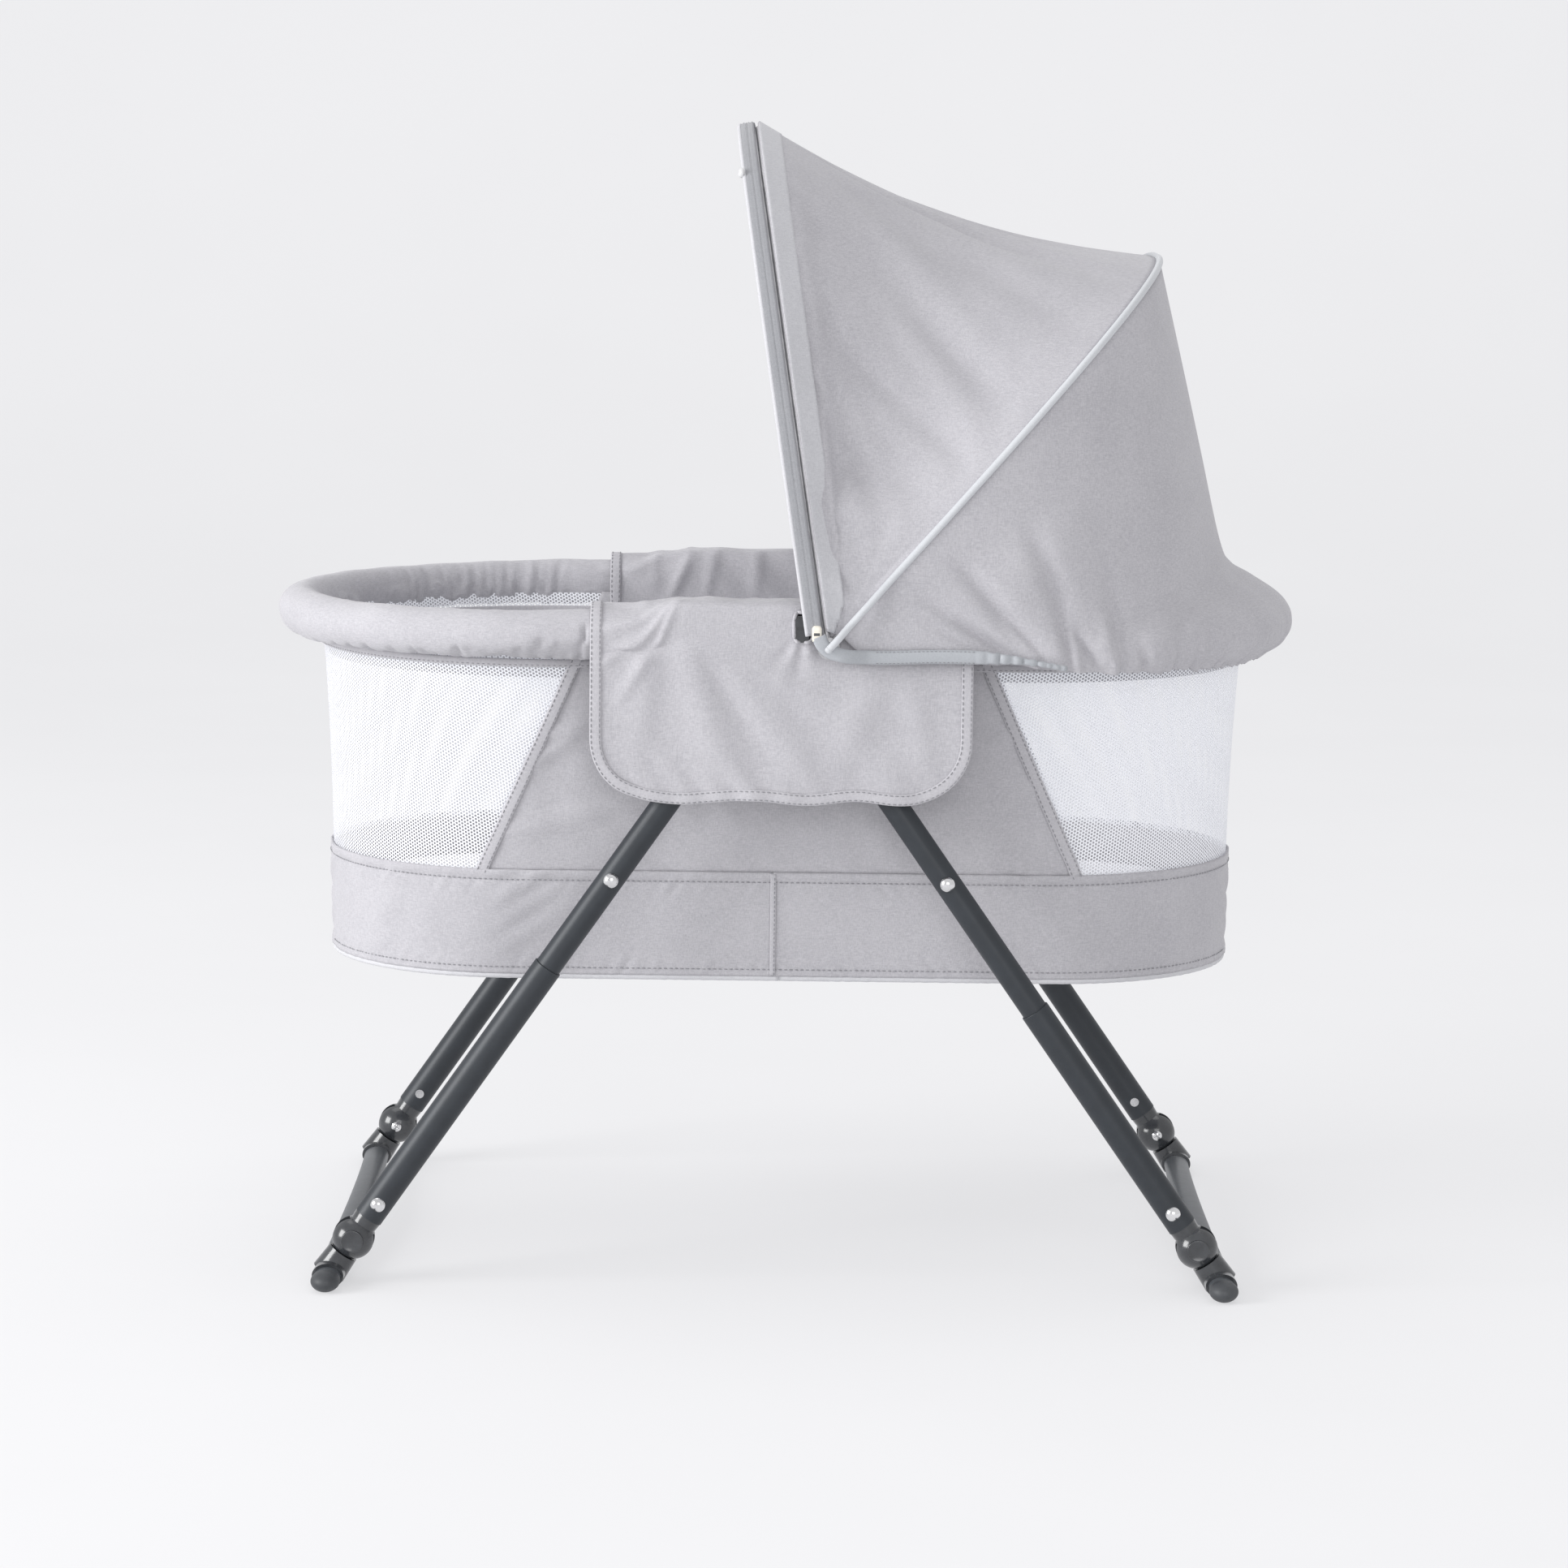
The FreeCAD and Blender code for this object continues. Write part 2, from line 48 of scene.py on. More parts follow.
# The main dimensions of the CAD model, in millimetres, in the shared frame.
RIM_HALF = 190.0
RIM_R = 224.0
RIM_Z = 545.5
PAD_R = 20.5
WALL_Z = (252.0, 342.0, 540.0)
WALL_LEN = (387.0, 389.0, 398.5)
WALL_WID = (160.0, 176.0, 207.5)
PANEL_Z = (338.0, 538.0)
PANEL_TOP_Z = 521.0
PANEL_HALF_TOP = 170.0
PANEL_SLOPE = 0.44
BAND_T = 2.4
SEAM_X = -5.0
CAN_X = 38.0
CAN_Z = 541.0
BOWS = {"front": (-8.6, 421.7, 262.2), "rear": (41.75, 411.5, 254.85)}
FABRIC_REACH = 0.966
PANEL_SAG = 24.0
SKIRT_SIDE = 33.0
SKIRT = [(-38, 611, 558), (-27, 590, 556), (-7, 578, 554), (17, 562, 552), (24.5, 548, 547),
         (19, 536, 539), (-3, 525, 530)]
SKIRT_DIP = (0.0, 0.0, 0.0, 0.0, 0.2, 0.6, 1.0)
FLAP_HALF = 157.0
FLAP_LOW = 411.0
FLAP_CORNER = 52.0
SLOT_X = 17.5
SLOT_Z = 556.5
SLOT_HALF = (7.2, 11.8)
BASE_Z = 252.0
MATTRESS_LOW = 262.5
MATTRESS_TOP = 307.5
TUFT = 92.0
LEG_LEAN = math.radians(34.9)
LEG_X = 30.0
LEG_LEN = 563.0
FOOT_AXIS_Z = 8.4
BALL_UP = 36.0
BALL_Y = 230.0
CAMERA_AT = (0.003, -4.187, 0.977)
CAMERA_DOWN = 7.95
CAMERA_ROLL = 0.67


# ---- small helpers

def unit(a):
    return a / np.maximum(np.linalg.norm(a, axis=-1, keepdims=True), 1e-9)


def smooth(x, low, high):
    t = np.clip((x - low) / (high - low), 0, 1)
    return t * t * (3 - 2 * t)


def bell(x, width):
    return np.exp(-(x / width) ** 2)


def xyz(x, y, z):
    """Rows of x, y, z, made from arrays and plain numbers."""
    return np.stack(np.broadcast_arrays(x, y, z), axis=-1).astype(float)


def facing_front(count):
    return xyz(np.zeros(count), -1.0, 0.0)


def waves(x, seed, pitch, count=7, spread=0.45):
    """Smooth irregular noise along x, about -1 to 1, its bumps about pitch apart."""
    rng = np.random.default_rng(seed)
    total = 0.0
    for _ in range(count):
        f = (1 + spread * (rng.random() * 2 - 1)) / pitch
        total = total + np.sin(2 * np.pi * (f * x + rng.random()))
    return total / math.sqrt(count) / 1.2


def crease(p, q, start, end, height, width):
    """A soft ridge on the (p, q) plane from start to end, tapering at both ends."""
    dx, dy = end[0] - start[0], end[1] - start[1]
    length = math.hypot(dx, dy)
    t = ((p - start[0]) * dx + (q - start[1]) * dy) / length ** 2
    n = ((p - start[0]) * dy - (q - start[1]) * dx) / length
    return height * bell(n, width) * np.sin(np.pi * np.clip(t, 0, 1)) ** 0.7


def creases(p, q, rows):
    """Ridges, and furrows where the height is below 0: start, end, height and width of each."""
    return sum(crease(p, q, *row) for row in rows)


def catmull(points, count):
    """Points along a smooth curve through the given rows; works on stacked rows too."""
    p = np.asarray(points, float)
    p = np.concatenate([2 * p[:1] - p[1:2], p, 2 * p[-1:] - p[-2:-1]])
    n = len(p) - 3
    out = []
    for u in np.linspace(0, n, count):
        i = min(int(u), n - 1)
        t = u - i
        a, b, c, d = p[i:i + 4]
        out.append(0.5 * (2 * b + (c - a) * t + (2 * a - 5 * b + 4 * c - d) * t ** 2
                          + (3 * b - a - 3 * c + d) * t ** 3))
    return np.array(out)


def distances(line):
    """How far along the line each of its points lies."""
    return np.concatenate([[0], np.cumsum(np.linalg.norm(np.diff(line, axis=0), axis=1))])


def resample(points, normals, step, closed=False):
    """Evenly spaced points and normals along a line."""
    p = np.asarray(points, float)
    n = np.asarray(normals, float)
    if closed:
        p, n = [np.concatenate([a, a[:1]]) for a in (p, n)]
    length = distances(p)
    count = max(int(length[-1] / step), 2)
    at = np.linspace(0, length[-1], count + 1)
    if closed:
        at = at[:-1]
    pick = lambda a: np.stack([np.interp(at, length, a[:, k]) for k in range(3)], axis=1)
    return pick(p), unit(pick(n))


def grid_faces(rows, cols, wrap=False, start=0, flip=False, keep=None):
    faces = []
    last = cols if wrap else cols - 1
    for i in range(rows - 1):
        a, b = start + i * cols, start + (i + 1) * cols
        for j in range(last):
            if keep is None or keep[i, j]:
                k = (j + 1) % cols
                face = [a + j, a + k, b + k, b + j]
                faces.append(face[::-1] if flip else face)
    return faces


def grid_normals(rows):
    return unit(np.cross(np.gradient(rows, axis=1), np.gradient(rows, axis=0)))


def thick_grid(rows, thickness, outside, keep=None):
    """A closed sheet: rows is its outer face, and outside is 1 or -1 times the grid's own normal."""
    rows = np.asarray(rows, float)
    m, n = rows.shape[:2]
    inner = rows - grid_normals(rows) * outside * thickness
    flip = outside < 0
    top = grid_faces(m, n, keep=keep, flip=flip)
    under = grid_faces(m, n, start=m * n, keep=keep, flip=not flip)
    edges = dict.fromkeys((a, b) for face in top for a, b in zip(face, face[1:] + face[:1]))
    rim = [[b, a, a + m * n, b + m * n] for a, b in edges if (b, a) not in edges]
    return np.concatenate([rows.reshape(-1, 3), inner.reshape(-1, 3)]), top + under + rim


def sweep(points, normals, section, closed=False):
    """A section swept along a line. The section's x goes sideways, and its y along the normal."""
    p = np.asarray(points, float)
    count = len(p)
    tangent = unit(np.roll(p, -1, axis=0) - np.roll(p, 1, axis=0) if closed else np.gradient(p, axis=0))
    normal = unit(normals - tangent * np.sum(tangent * normals, axis=1, keepdims=True))
    across = np.cross(tangent, normal)
    if section.ndim == 2:
        section = np.repeat(section[None], count, axis=0)
    k = section.shape[1]
    verts = (p[:, None] + across[:, None] * section[:, :, :1] + normal[:, None] * section[:, :, 1:2])
    faces = grid_faces(count, k, wrap=True, flip=True)
    if closed:
        base = (count - 1) * k
        faces += [[base + j, j, (j + 1) % k, base + (j + 1) % k] for j in range(k)]
    else:
        faces += [list(range(k)), [(count - 1) * k + j for j in range(k)][::-1]]
    return verts.reshape(-1, 3), faces


def round_section(r, count=10):
    a = np.linspace(0, 2 * np.pi, count, endpoint=False)
    return np.stack([r * np.cos(a), r * np.sin(a)], axis=1)


def strip_section(width, height, edge=0.6):
    """A flat strip with softened edges and a slightly domed face."""
    h = width / 2
    top = [(-h + edge, height * 0.82), (-h / 2, height * 0.97), (0, height), (h / 2, height * 0.97),
           (h - edge, height * 0.82)]
    return np.array([(h, 0.0), (h, height * 0.45)] + top[::-1] + [(-h, height * 0.45), (-h, 0.0)])


def merge(parts):
    verts, faces, start = [], [], 0
    for v, f in parts:
        verts.append(v)
        faces += [[i + start for i in face] for face in f]
        start += len(v)
    return np.concatenate(verts), faces


def stitches(points, normals, pitch=4.6, length=3.1, r=0.45, lift=0.15, closed=False):
    """A row of thread stitches lying on a surface: verts and faces."""
    fine, up = resample(points, normals, pitch / 6, closed)
    ring = round_section(1.0, 6)
    profile = ((0.0, 0.35, -0.3), (0.2, 0.95, 0.1), (0.5, 1.0, 0.3), (0.8, 0.95, 0.1), (1.0, 0.35, -0.3))
    faces = grid_faces(5, 6, wrap=True, flip=True) + [list(range(6)), [24 + j for j in range(6)][::-1]]
    parts = []
    span = max(int(round(length / (pitch / 6))), 2)
    for i in range(0, len(fine) - span, 6):
        a, b = fine[i], fine[i + span]
        direction = unit(b - a)
        normal = unit(up[i] - direction * np.dot(up[i], direction))
        across = np.cross(direction, normal)
        rings = []
        for t, size, rise in profile:
            centre = a + (b - a) * t + normal * (lift + r * rise)
            rings.append(centre + (across * ring[:, :1] + normal * ring[:, 1:]) * r * size)
        parts.append((np.concatenate(rings), faces))
    return merge(parts)


def new_object(name, data):
    obj = bpy.data.objects.new(name, data)
    bpy.context.scene.collection.objects.link(obj)
    return obj


def new_mesh(name, verts, faces, material):
    mesh = bpy.data.meshes.new(name)
    mesh.from_pydata(verts.tolist(), [], faces)
    mesh.update()
    mesh.polygons.foreach_set("use_smooth", [True] * len(mesh.polygons))
    mesh.materials.append(material)
    return new_object(name, mesh)


def piece(name, mesh_data, material, body="basket"):
    """A mesh object from verts in millimetres."""
    verts, faces = mesh_data
    obj = new_mesh(name, np.asarray(verts) * MM, faces, material)
    if body:
        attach(obj, body)
    return obj


def billow(obj, held, pressure, cap, slack, frames=18):
    """Blows cloth up a little with its held points fixed, and keeps the shape on the mesh."""
    scene = bpy.context.scene
    group = obj.vertex_groups.new(name="held")
    for level in np.unique(np.round(held, 1)):
        if level > 0:
            group.add(np.flatnonzero(np.round(held, 1) == level).tolist(), float(level), "REPLACE")
    modifier = obj.modifiers.new("cloth", "CLOTH")
    settings = {"quality": 5, "mass": 0.12, "tension_stiffness": 18, "compression_stiffness": 18,
                "shear_stiffness": 6, "bending_stiffness": 0.25, "use_pressure": True,
                "uniform_pressure_force": pressure, "shrink_min": -slack, "vertex_group_mass": "held"}
    for key, value in settings.items():
        setattr(modifier.settings, key, value)
    modifier.settings.effector_weights.gravity = 0
    modifier.collision_settings.use_self_collision = False
    modifier.point_cache.frame_start = 1
    modifier.point_cache.frame_end = frames
    for frame_number in range(1, frames + 1):
        scene.frame_set(frame_number)
    moved = np.zeros(len(obj.data.vertices) * 3)
    rest = moved.copy()
    blown = obj.evaluated_get(bpy.context.evaluated_depsgraph_get()).data
    blown.vertices.foreach_get("co", moved)
    obj.data.vertices.foreach_get("co", rest)
    obj.modifiers.remove(modifier)
    obj.vertex_groups.remove(group)
    scene.frame_set(1)
    step = np.nan_to_num((moved - rest).reshape(-1, 3))
    size = np.linalg.norm(step, axis=1, keepdims=True)
    limit = cap * MM
    step *= np.where(size > limit, limit / np.maximum(size, 1e-9), 1)
    obj.data.vertices.foreach_set("co", (rest.reshape(-1, 3) + step).ravel())
    obj.data.update()


def mirror_y(data):
    verts, faces = data
    return verts * [1, -1, 1], [f[::-1] for f in faces]


def both_sides(data, sy):
    return data if sy < 0 else mirror_y(data)


def near_and_far(parts):
    return merge(parts + [mirror_y(part) for part in parts])


# ---- materials

class Shade:
    """A new material, with short ways to add nodes and set or link their inputs."""

    def __init__(self, name):
        self.material = bpy.data.materials.new(name)
        self.material.use_nodes = True
        self.tree = self.material.node_tree
        self.inputs = self.tree.nodes["Principled BSDF"].inputs

    def give(self, inputs, values):
        for key, value in values.items():
            if isinstance(value, bpy.types.NodeSocket):
                self.tree.links.new(value, inputs[key])
            else:
                inputs[key].default_value = value

    def add(self, kind, output, values):
        node = self.tree.nodes.new("ShaderNode" + kind)
        self.give(node.inputs, values)
        return node.outputs[output]

    def noise(self, scale, stretch=(1, 1, 1), detail=3.0):
        coords = self.add("TexCoord", "Object", {})
        where = self.add("Mapping", "Vector", {"Vector": coords, "Scale": stretch})
        return self.add("TexNoise", "Fac", {"Scale": scale, "Detail": detail, "Roughness": 0.6, "Vector": where})

    def maths(self, operation, *values):
        node = self.tree.nodes.new("ShaderNodeMath")
        node.operation = operation
        self.give(node.inputs, dict(enumerate(values)))
        return node.outputs[0]

    def ramp(self, value, low, dark, high, light):
        node = self.tree.nodes.new("ShaderNodeValToRGB")
        node.color_ramp.interpolation = "EASE"
        for element, at, colour in zip(node.color_ramp.elements, (low, high), (dark, light)):
            element.position = at
            element.color = (*colour, 1)
        self.give(node.inputs, {"Fac": value})
        return node.outputs["Color"]

    def finish(self, height, distance, strength, values):
        """Sets the shader's own inputs and a bump from the height; returns the material."""
        normal = {"Height": height, "Distance": distance, "Strength": strength}
        self.give(self.inputs, {"Normal": self.add("Bump", "Normal", normal), **values})
        return self.material


def woven(name, light, dark, thread=1500.0, rough=0.92, relief=0.0003):
    """A plain-weave cloth with slubby warp and weft threads of two shades."""
    shade = Shade(name)
    warp = shade.noise(thread, (1, 1, 0.16), 2.0)
    weft = shade.noise(thread, (0.16, 0.16, 1), 2.0)
    both = shade.maths("ADD", warp, weft)
    cloud = shade.noise(14.0, detail=2.0)
    mixed = shade.maths("MULTIPLY_ADD", cloud, 0.16, shade.maths("MULTIPLY", both, 0.42))
    return shade.finish(both, relief, 0.55, {
        "Base Color": shade.ramp(mixed, 0.34, dark, 0.66, light), "Roughness": rough,
        "Sheen Weight": 0.2, "Sheen Roughness": 0.5, "Specular IOR Level": 0.25})


def plastic(name, light, dark, rough, relief=0.00006, coat=0.0):
    """Moulded plastic: fine grain, faint handling marks in its gloss."""
    shade = Shade(name)
    cloud = shade.noise(55.0, detail=4.0)
    gloss = shade.maths("MULTIPLY_ADD", shade.noise(190.0), 0.14, rough - 0.07)
    return shade.finish(shade.noise(900.0), relief, 0.5, {
        "Base Color": shade.ramp(cloud, 0.35, dark, 0.65, light), "Roughness": gloss,
        "Coat Weight": coat, "Coat Roughness": 0.12})


def metal(name, light, dark, rough, metallic=1.0, coat=0.0, uneven=0.12, relief=0.00004):
    shade = Shade(name)
    cloud = shade.noise(70.0, detail=4.0)
    gloss = shade.maths("MULTIPLY_ADD", shade.noise(420.0), uneven, rough - uneven / 2)
    return shade.finish(shade.noise(700.0), relief, 0.4, {
        "Base Color": shade.ramp(cloud, 0.3, dark, 0.7, light), "Roughness": gloss,
        "Metallic": metallic, "Coat Weight": coat, "Coat Roughness": 0.2})


def netting(name, colour, pitch):
    """An open knitted mesh: round holes on a triangular lattice, laid out by the weave map. Its faint bluish
    emission is a painted glow that brightens the net as if light shone through it.
    """
    shade = Shade(name)
    uv = shade.tree.nodes.new("ShaderNodeUVMap")
    uv.uv_map = "weave"
    split = shade.tree.nodes.new("ShaderNodeSeparateXYZ")
    shade.give(split.inputs, {"Vector": uv.outputs["UV"]})
    k = 2 * math.pi / (pitch * MM * math.sqrt(3) / 2)
    total = None
    for turn in (0, 60, -60):
        c, s = k * math.cos(math.radians(turn)), k * math.sin(math.radians(turn))
        x = shade.maths("MULTIPLY", split.outputs["X"], c)
        wave = shade.maths("COSINE", shade.maths("MULTIPLY_ADD", split.outputs["Y"], s, x))
        total = shade.maths("ADD", total, wave) if total else wave
    hole = shade.tree.nodes.new("ShaderNodeMapRange")
    hole.interpolation_type = "SMOOTHSTEP"
    shade.give(hole.inputs, {"Value": total, "From Min": -0.3, "From Max": 0.5, "To Min": 1.0, "To Max": 0.1})
    low = tuple(c * 0.96 for c in colour)
    # The Emission Color and Emission Strength below are a painted glow, not a lamp: they brighten the net as if it
    # were lit through from behind.
    return shade.finish(total, 0.0004, 0.5, {
        "Base Color": shade.ramp(shade.noise(240.0), 0.35, low, 0.65, colour), "Alpha": hole.outputs["Result"],
        "Roughness": 0.75, "Sheen Weight": 0.2, "Emission Color": (0.86, 0.90, 1.0, 1), "Emission Strength": 0.23})


LINEN = woven("linen_grey", (0.49, 0.482, 0.508), (0.375, 0.368, 0.394))
LINEN_TAPE = woven("linen_tape", (0.50, 0.492, 0.518), (0.40, 0.392, 0.418), thread=1900.0)
LINEN_LIGHT = woven("linen_light", (0.58, 0.58, 0.605), (0.51, 0.51, 0.535), thread=1800.0)
SATIN = woven("satin_tape", (0.40, 0.415, 0.44), (0.34, 0.355, 0.38), thread=2600.0, rough=0.4, relief=0.0001)
THREAD = woven("thread_grey", (0.30, 0.30, 0.32), (0.22, 0.22, 0.235), thread=3600.0, relief=0.0001)
PIPE = woven("piping_cloth", (0.56, 0.575, 0.60), (0.50, 0.515, 0.54), thread=2400.0, rough=0.5, relief=0.0001)
QUILT = woven("mattress_cotton", (0.93, 0.93, 0.95), (0.87, 0.87, 0.89))
UNDER = woven("base_cloth", (0.30, 0.30, 0.32), (0.20, 0.20, 0.215))
NET = netting("netting_white_painted_glow", (0.66, 0.66, 0.685), 2.9)
ZIP_TAPE = woven("zip_tape", (0.36, 0.365, 0.385), (0.29, 0.295, 0.315), thread=2200.0)
HEM_CLOTH = woven("hem_cloth", (0.56, 0.56, 0.585), (0.465, 0.465, 0.49))
ZIP_TEETH = plastic("zip_teeth", (0.62, 0.62, 0.63), (0.52, 0.52, 0.53), 0.42)
CREAM = plastic("zip_cream", (0.78, 0.745, 0.66), (0.70, 0.665, 0.58), 0.38, coat=0.3)
MATTE = plastic("matte_charcoal", (0.060, 0.064, 0.070), (0.040, 0.043, 0.048), 0.55)
GLOSS = plastic("gloss_charcoal", (0.040, 0.043, 0.048), (0.026, 0.028, 0.032), 0.24, relief=0.00002, coat=0.55)
CHROME = metal("chrome_steel", (0.80, 0.80, 0.81), (0.66, 0.66, 0.67), 0.16)
PAINT = metal("frame_paint", (0.025, 0.030, 0.037), (0.022, 0.026, 0.032), 0.47, metallic=0.15, coat=0.03,
              uneven=0.05, relief=0.000008)
BAR_PAINT = metal("bar_paint", (0.082, 0.090, 0.100), (0.070, 0.077, 0.086), 0.42, metallic=0.2, coat=0.06,
                  uneven=0.05, relief=0.000008)
STEEL = metal("bare_steel", (0.50, 0.50, 0.51), (0.38, 0.38, 0.39), 0.35)


# ---- the basket's outline

def section_at(z):
    return np.interp(z, WALL_Z, WALL_LEN), np.interp(z, WALL_Z, WALL_WID)


def outline(half_len, half_wid, l):
    """A stadium line: point and outward direction at distance l from the middle of its front, towards +X."""
    s = half_len - half_wid
    r = half_wid
    l = np.asarray(l, float)
    a = np.clip((l - s) / r, 0, math.pi)
    before = np.minimum(l, s)
    after = np.maximum(l - s - math.pi * r, 0)
    x = before + r * np.sin(a) - after
    y = -r * np.cos(a)
    return x, y, np.sin(a), -np.cos(a)


def edge_at(z):
    """Distance along the outline from the front's middle to the slanted edge of the centre panel."""
    a, b = section_at(z)
    s = a - b
    w = PANEL_HALF_TOP + (PANEL_TOP_Z - z) * PANEL_SLOPE
    return np.where(w < s, w, s + b * np.arcsin(np.clip((w - s) / b, 0, 1)))


def wall_grid(z_low, z_high, rows, cols, start, end, grow=0.0, shape=None):
    """A piece of wall. start and end give distances along the outline at a height."""
    out = np.zeros((rows, cols, 3))
    for i, z in enumerate(np.linspace(z_low, z_high, rows)):
        a, b = section_at(z)
        l = np.linspace(start(z), end(z), cols)
        sign = np.where(l < 0, -1, 1)
        x, y, nx, ny = outline(a, b, np.abs(l))
        push = grow + (shape(l, z) if shape else 0.0)
        out[i] = xyz(sign * (x + nx * push), y + ny * push, z)
    return out


def half_turn(z):
    a, b = section_at(z)
    return a - b + math.pi * b / 2


def mirror_x(rows):
    return rows * [-1, 1, 1]


def ring_line(z, grow, step=4.0):
    """Points and outward normals of a level line round the basket's wall."""
    a, b = section_at(z)
    x, y, nx, ny = outline(a, b, np.arange(0, 2 * (a - b) + math.pi * b, step))
    halves = xyz(x + nx * grow, y + ny * grow, z), xyz(nx, ny, 0.0)
    return [np.concatenate([half, mirror_x(half)[::-1]]) for half in halves]


def net_uv(obj, rows):
    """A metric map for the netting: along and up the surface."""
    m, n = rows.shape[:2]
    along = np.zeros((m, n))
    along[:, 1:] = np.cumsum(np.linalg.norm(np.diff(rows, axis=1), axis=2), axis=1)
    along -= along[:, -1:] / 2
    up = np.repeat(rows[:, :1, 2], n, axis=1)
    uv = np.stack([along, up], axis=2).reshape(-1, 2) * MM
    layer = obj.data.uv_layers.new(name="weave")
    index = np.zeros(len(obj.data.loops), int)
    obj.data.loops.foreach_get("vertex_index", index)
    layer.data.foreach_set("uv", uv[index].ravel())


PANEL_FOLDS = [((-238, 410), (-165, 462), 2.6, 6), ((-228, 452), (-150, 470), 2.0, 5),
               ((-240, 372), (-120, 400), 2.2, 8), ((-225, 430), (-160, 440), -1.6, 5),
               ((238, 400), (170, 440), 2.4, 6), ((215, 470), (165, 452), 2.0, 5),
               ((120, 408), (215, 384), 2.2, 7), ((-60, 372), (130, 380), 1.6, 9)]


def panel_relief(l, z):
    low, high = PANEL_Z
    wave = 0.55 * waves(l, 11, 46) * math.sin(math.pi * (z - low) / (high - low))
    return wave + 0.35 * waves(l + z, 12, 33) + creases(l, z, PANEL_FOLDS)


def make_walls():
    low, high = PANEL_Z
    depth = high - 1 - low
    for sx, side in ((-1, "left"), (1, "right")):
        rows = wall_grid(low, high - 1, 30, 150, edge_at, lambda z: 2 * half_turn(z) - edge_at(z),
                         shape=lambda l, z: -1.6 * math.sin(math.pi * (z - low) / depth))
        rows = rows if sx > 0 else mirror_x(rows)
        faces = grid_faces(30, 150, flip=sx < 0)
        net = piece("net_window_" + side, (rows.reshape(-1, 3), faces), NET)
        net_uv(net, rows)
        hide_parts("mesh_" + side)
    rows = wall_grid(low, high, 34, 96, lambda z: -edge_at(z) - 2, lambda z: edge_at(z) + 2, grow=0.4,
                     shape=panel_relief)
    for sy, side in ((-1, "front"), (1, "rear")):
        cloth = piece("side_panel_" + side, both_sides(thick_grid(rows, 2.0, 1), sy), LINEN)
        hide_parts("panel_" + side)
    trim, thread = [], []
    z = np.linspace(340, 527, 48)
    for sx in (-1, 1):
        x, y, nx, ny = outline(*section_at(z), edge_at(z))
        line = xyz(sx * (x + nx * 0.9), y + ny * 0.9, z)
        normal = unit(xyz(sx * nx, ny, -0.15))
        wobble = xyz(0.25 * waves(z, 20 + sx, 30), 0.0, 0.0)
        trim.append(sweep(line + wobble, normal, strip_section(10.0, 1.7)))
        across = np.cross(unit(np.gradient(line, axis=0)), normal)
        thread += [stitches(line + across * offset + normal * 1.5, normal) for offset in (-3.4, 3.4)]
    piece("window_bindings", near_and_far(trim), LINEN_TAPE)
    piece("window_binding_stitches", near_and_far(thread), THREAD)


def band_relief(l, z):
    seam = 0.5 * bell(z - 338.5, 2.6) - 0.55 * bell(z - 333.5, 1.5)
    wave = (0.7 + 0.5 * waves(l, 33, 210)) * waves(l + 0.25 * z, 31, 62) * math.sin(math.pi * (z - 250) / 92)
    pucker = 0.55 * waves(l + 0.6 * z, 32, 13) * (bell(z - 329, 9) + bell(z - 259, 9))
    slant = 0.8 * waves(l + 1.6 * z, 36, 44) * smooth(waves(l, 37, 160), 0.0, 0.8)
    return seam + wave + pucker + slant


def make_bands():
    for sx, side in ((-1, "left"), (1, "right")):
        gap = sx * SEAM_X
        rows = wall_grid(BASE_Z - 1.0, 342, 46, 260, lambda z: gap, lambda z: 2 * half_turn(z) - gap,
                         grow=BAND_T, shape=band_relief)
        rows = rows if sx > 0 else mirror_x(rows)
        band = piece("base_band_" + side, thick_grid(rows, 1.8, sx), LINEN)
        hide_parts("band_" + side)
    z = np.linspace(252, 341, 30)
    seam = xyz(SEAM_X, -(section_at(z)[1] + BAND_T), z)
    piece("band_seams", near_and_far([sweep(seam, facing_front(30), strip_section(5.0, 1.2))]), LINEN_TAPE)
    sewn = stitches(seam + [1.2, -1.1, 0], facing_front(30), pitch=4.0, length=2.8)
    rings = [stitches(*ring_line(z, BAND_T + lift), closed=True) for z, lift in ((333.5, 0.1), (257.0, 0.2))]
    piece("band_stitches", merge(rings + [near_and_far([sewn])]), THREAD)
    line, normal = ring_line(BASE_Z, BAND_T - 2.4, 3.0)
    line[:, 2] = BASE_Z - 2.6
    ripple = 1 + 0.06 * waves(np.arange(len(line)) * 3.0, 41, 11)
    section = round_section(2.6, 12)[None] * ripple[:, None, None]
    pipe = piece("base_piping", sweep(line, normal, section, closed=True), LINEN_LIGHT)
    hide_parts("piping")


# ---- rim roll

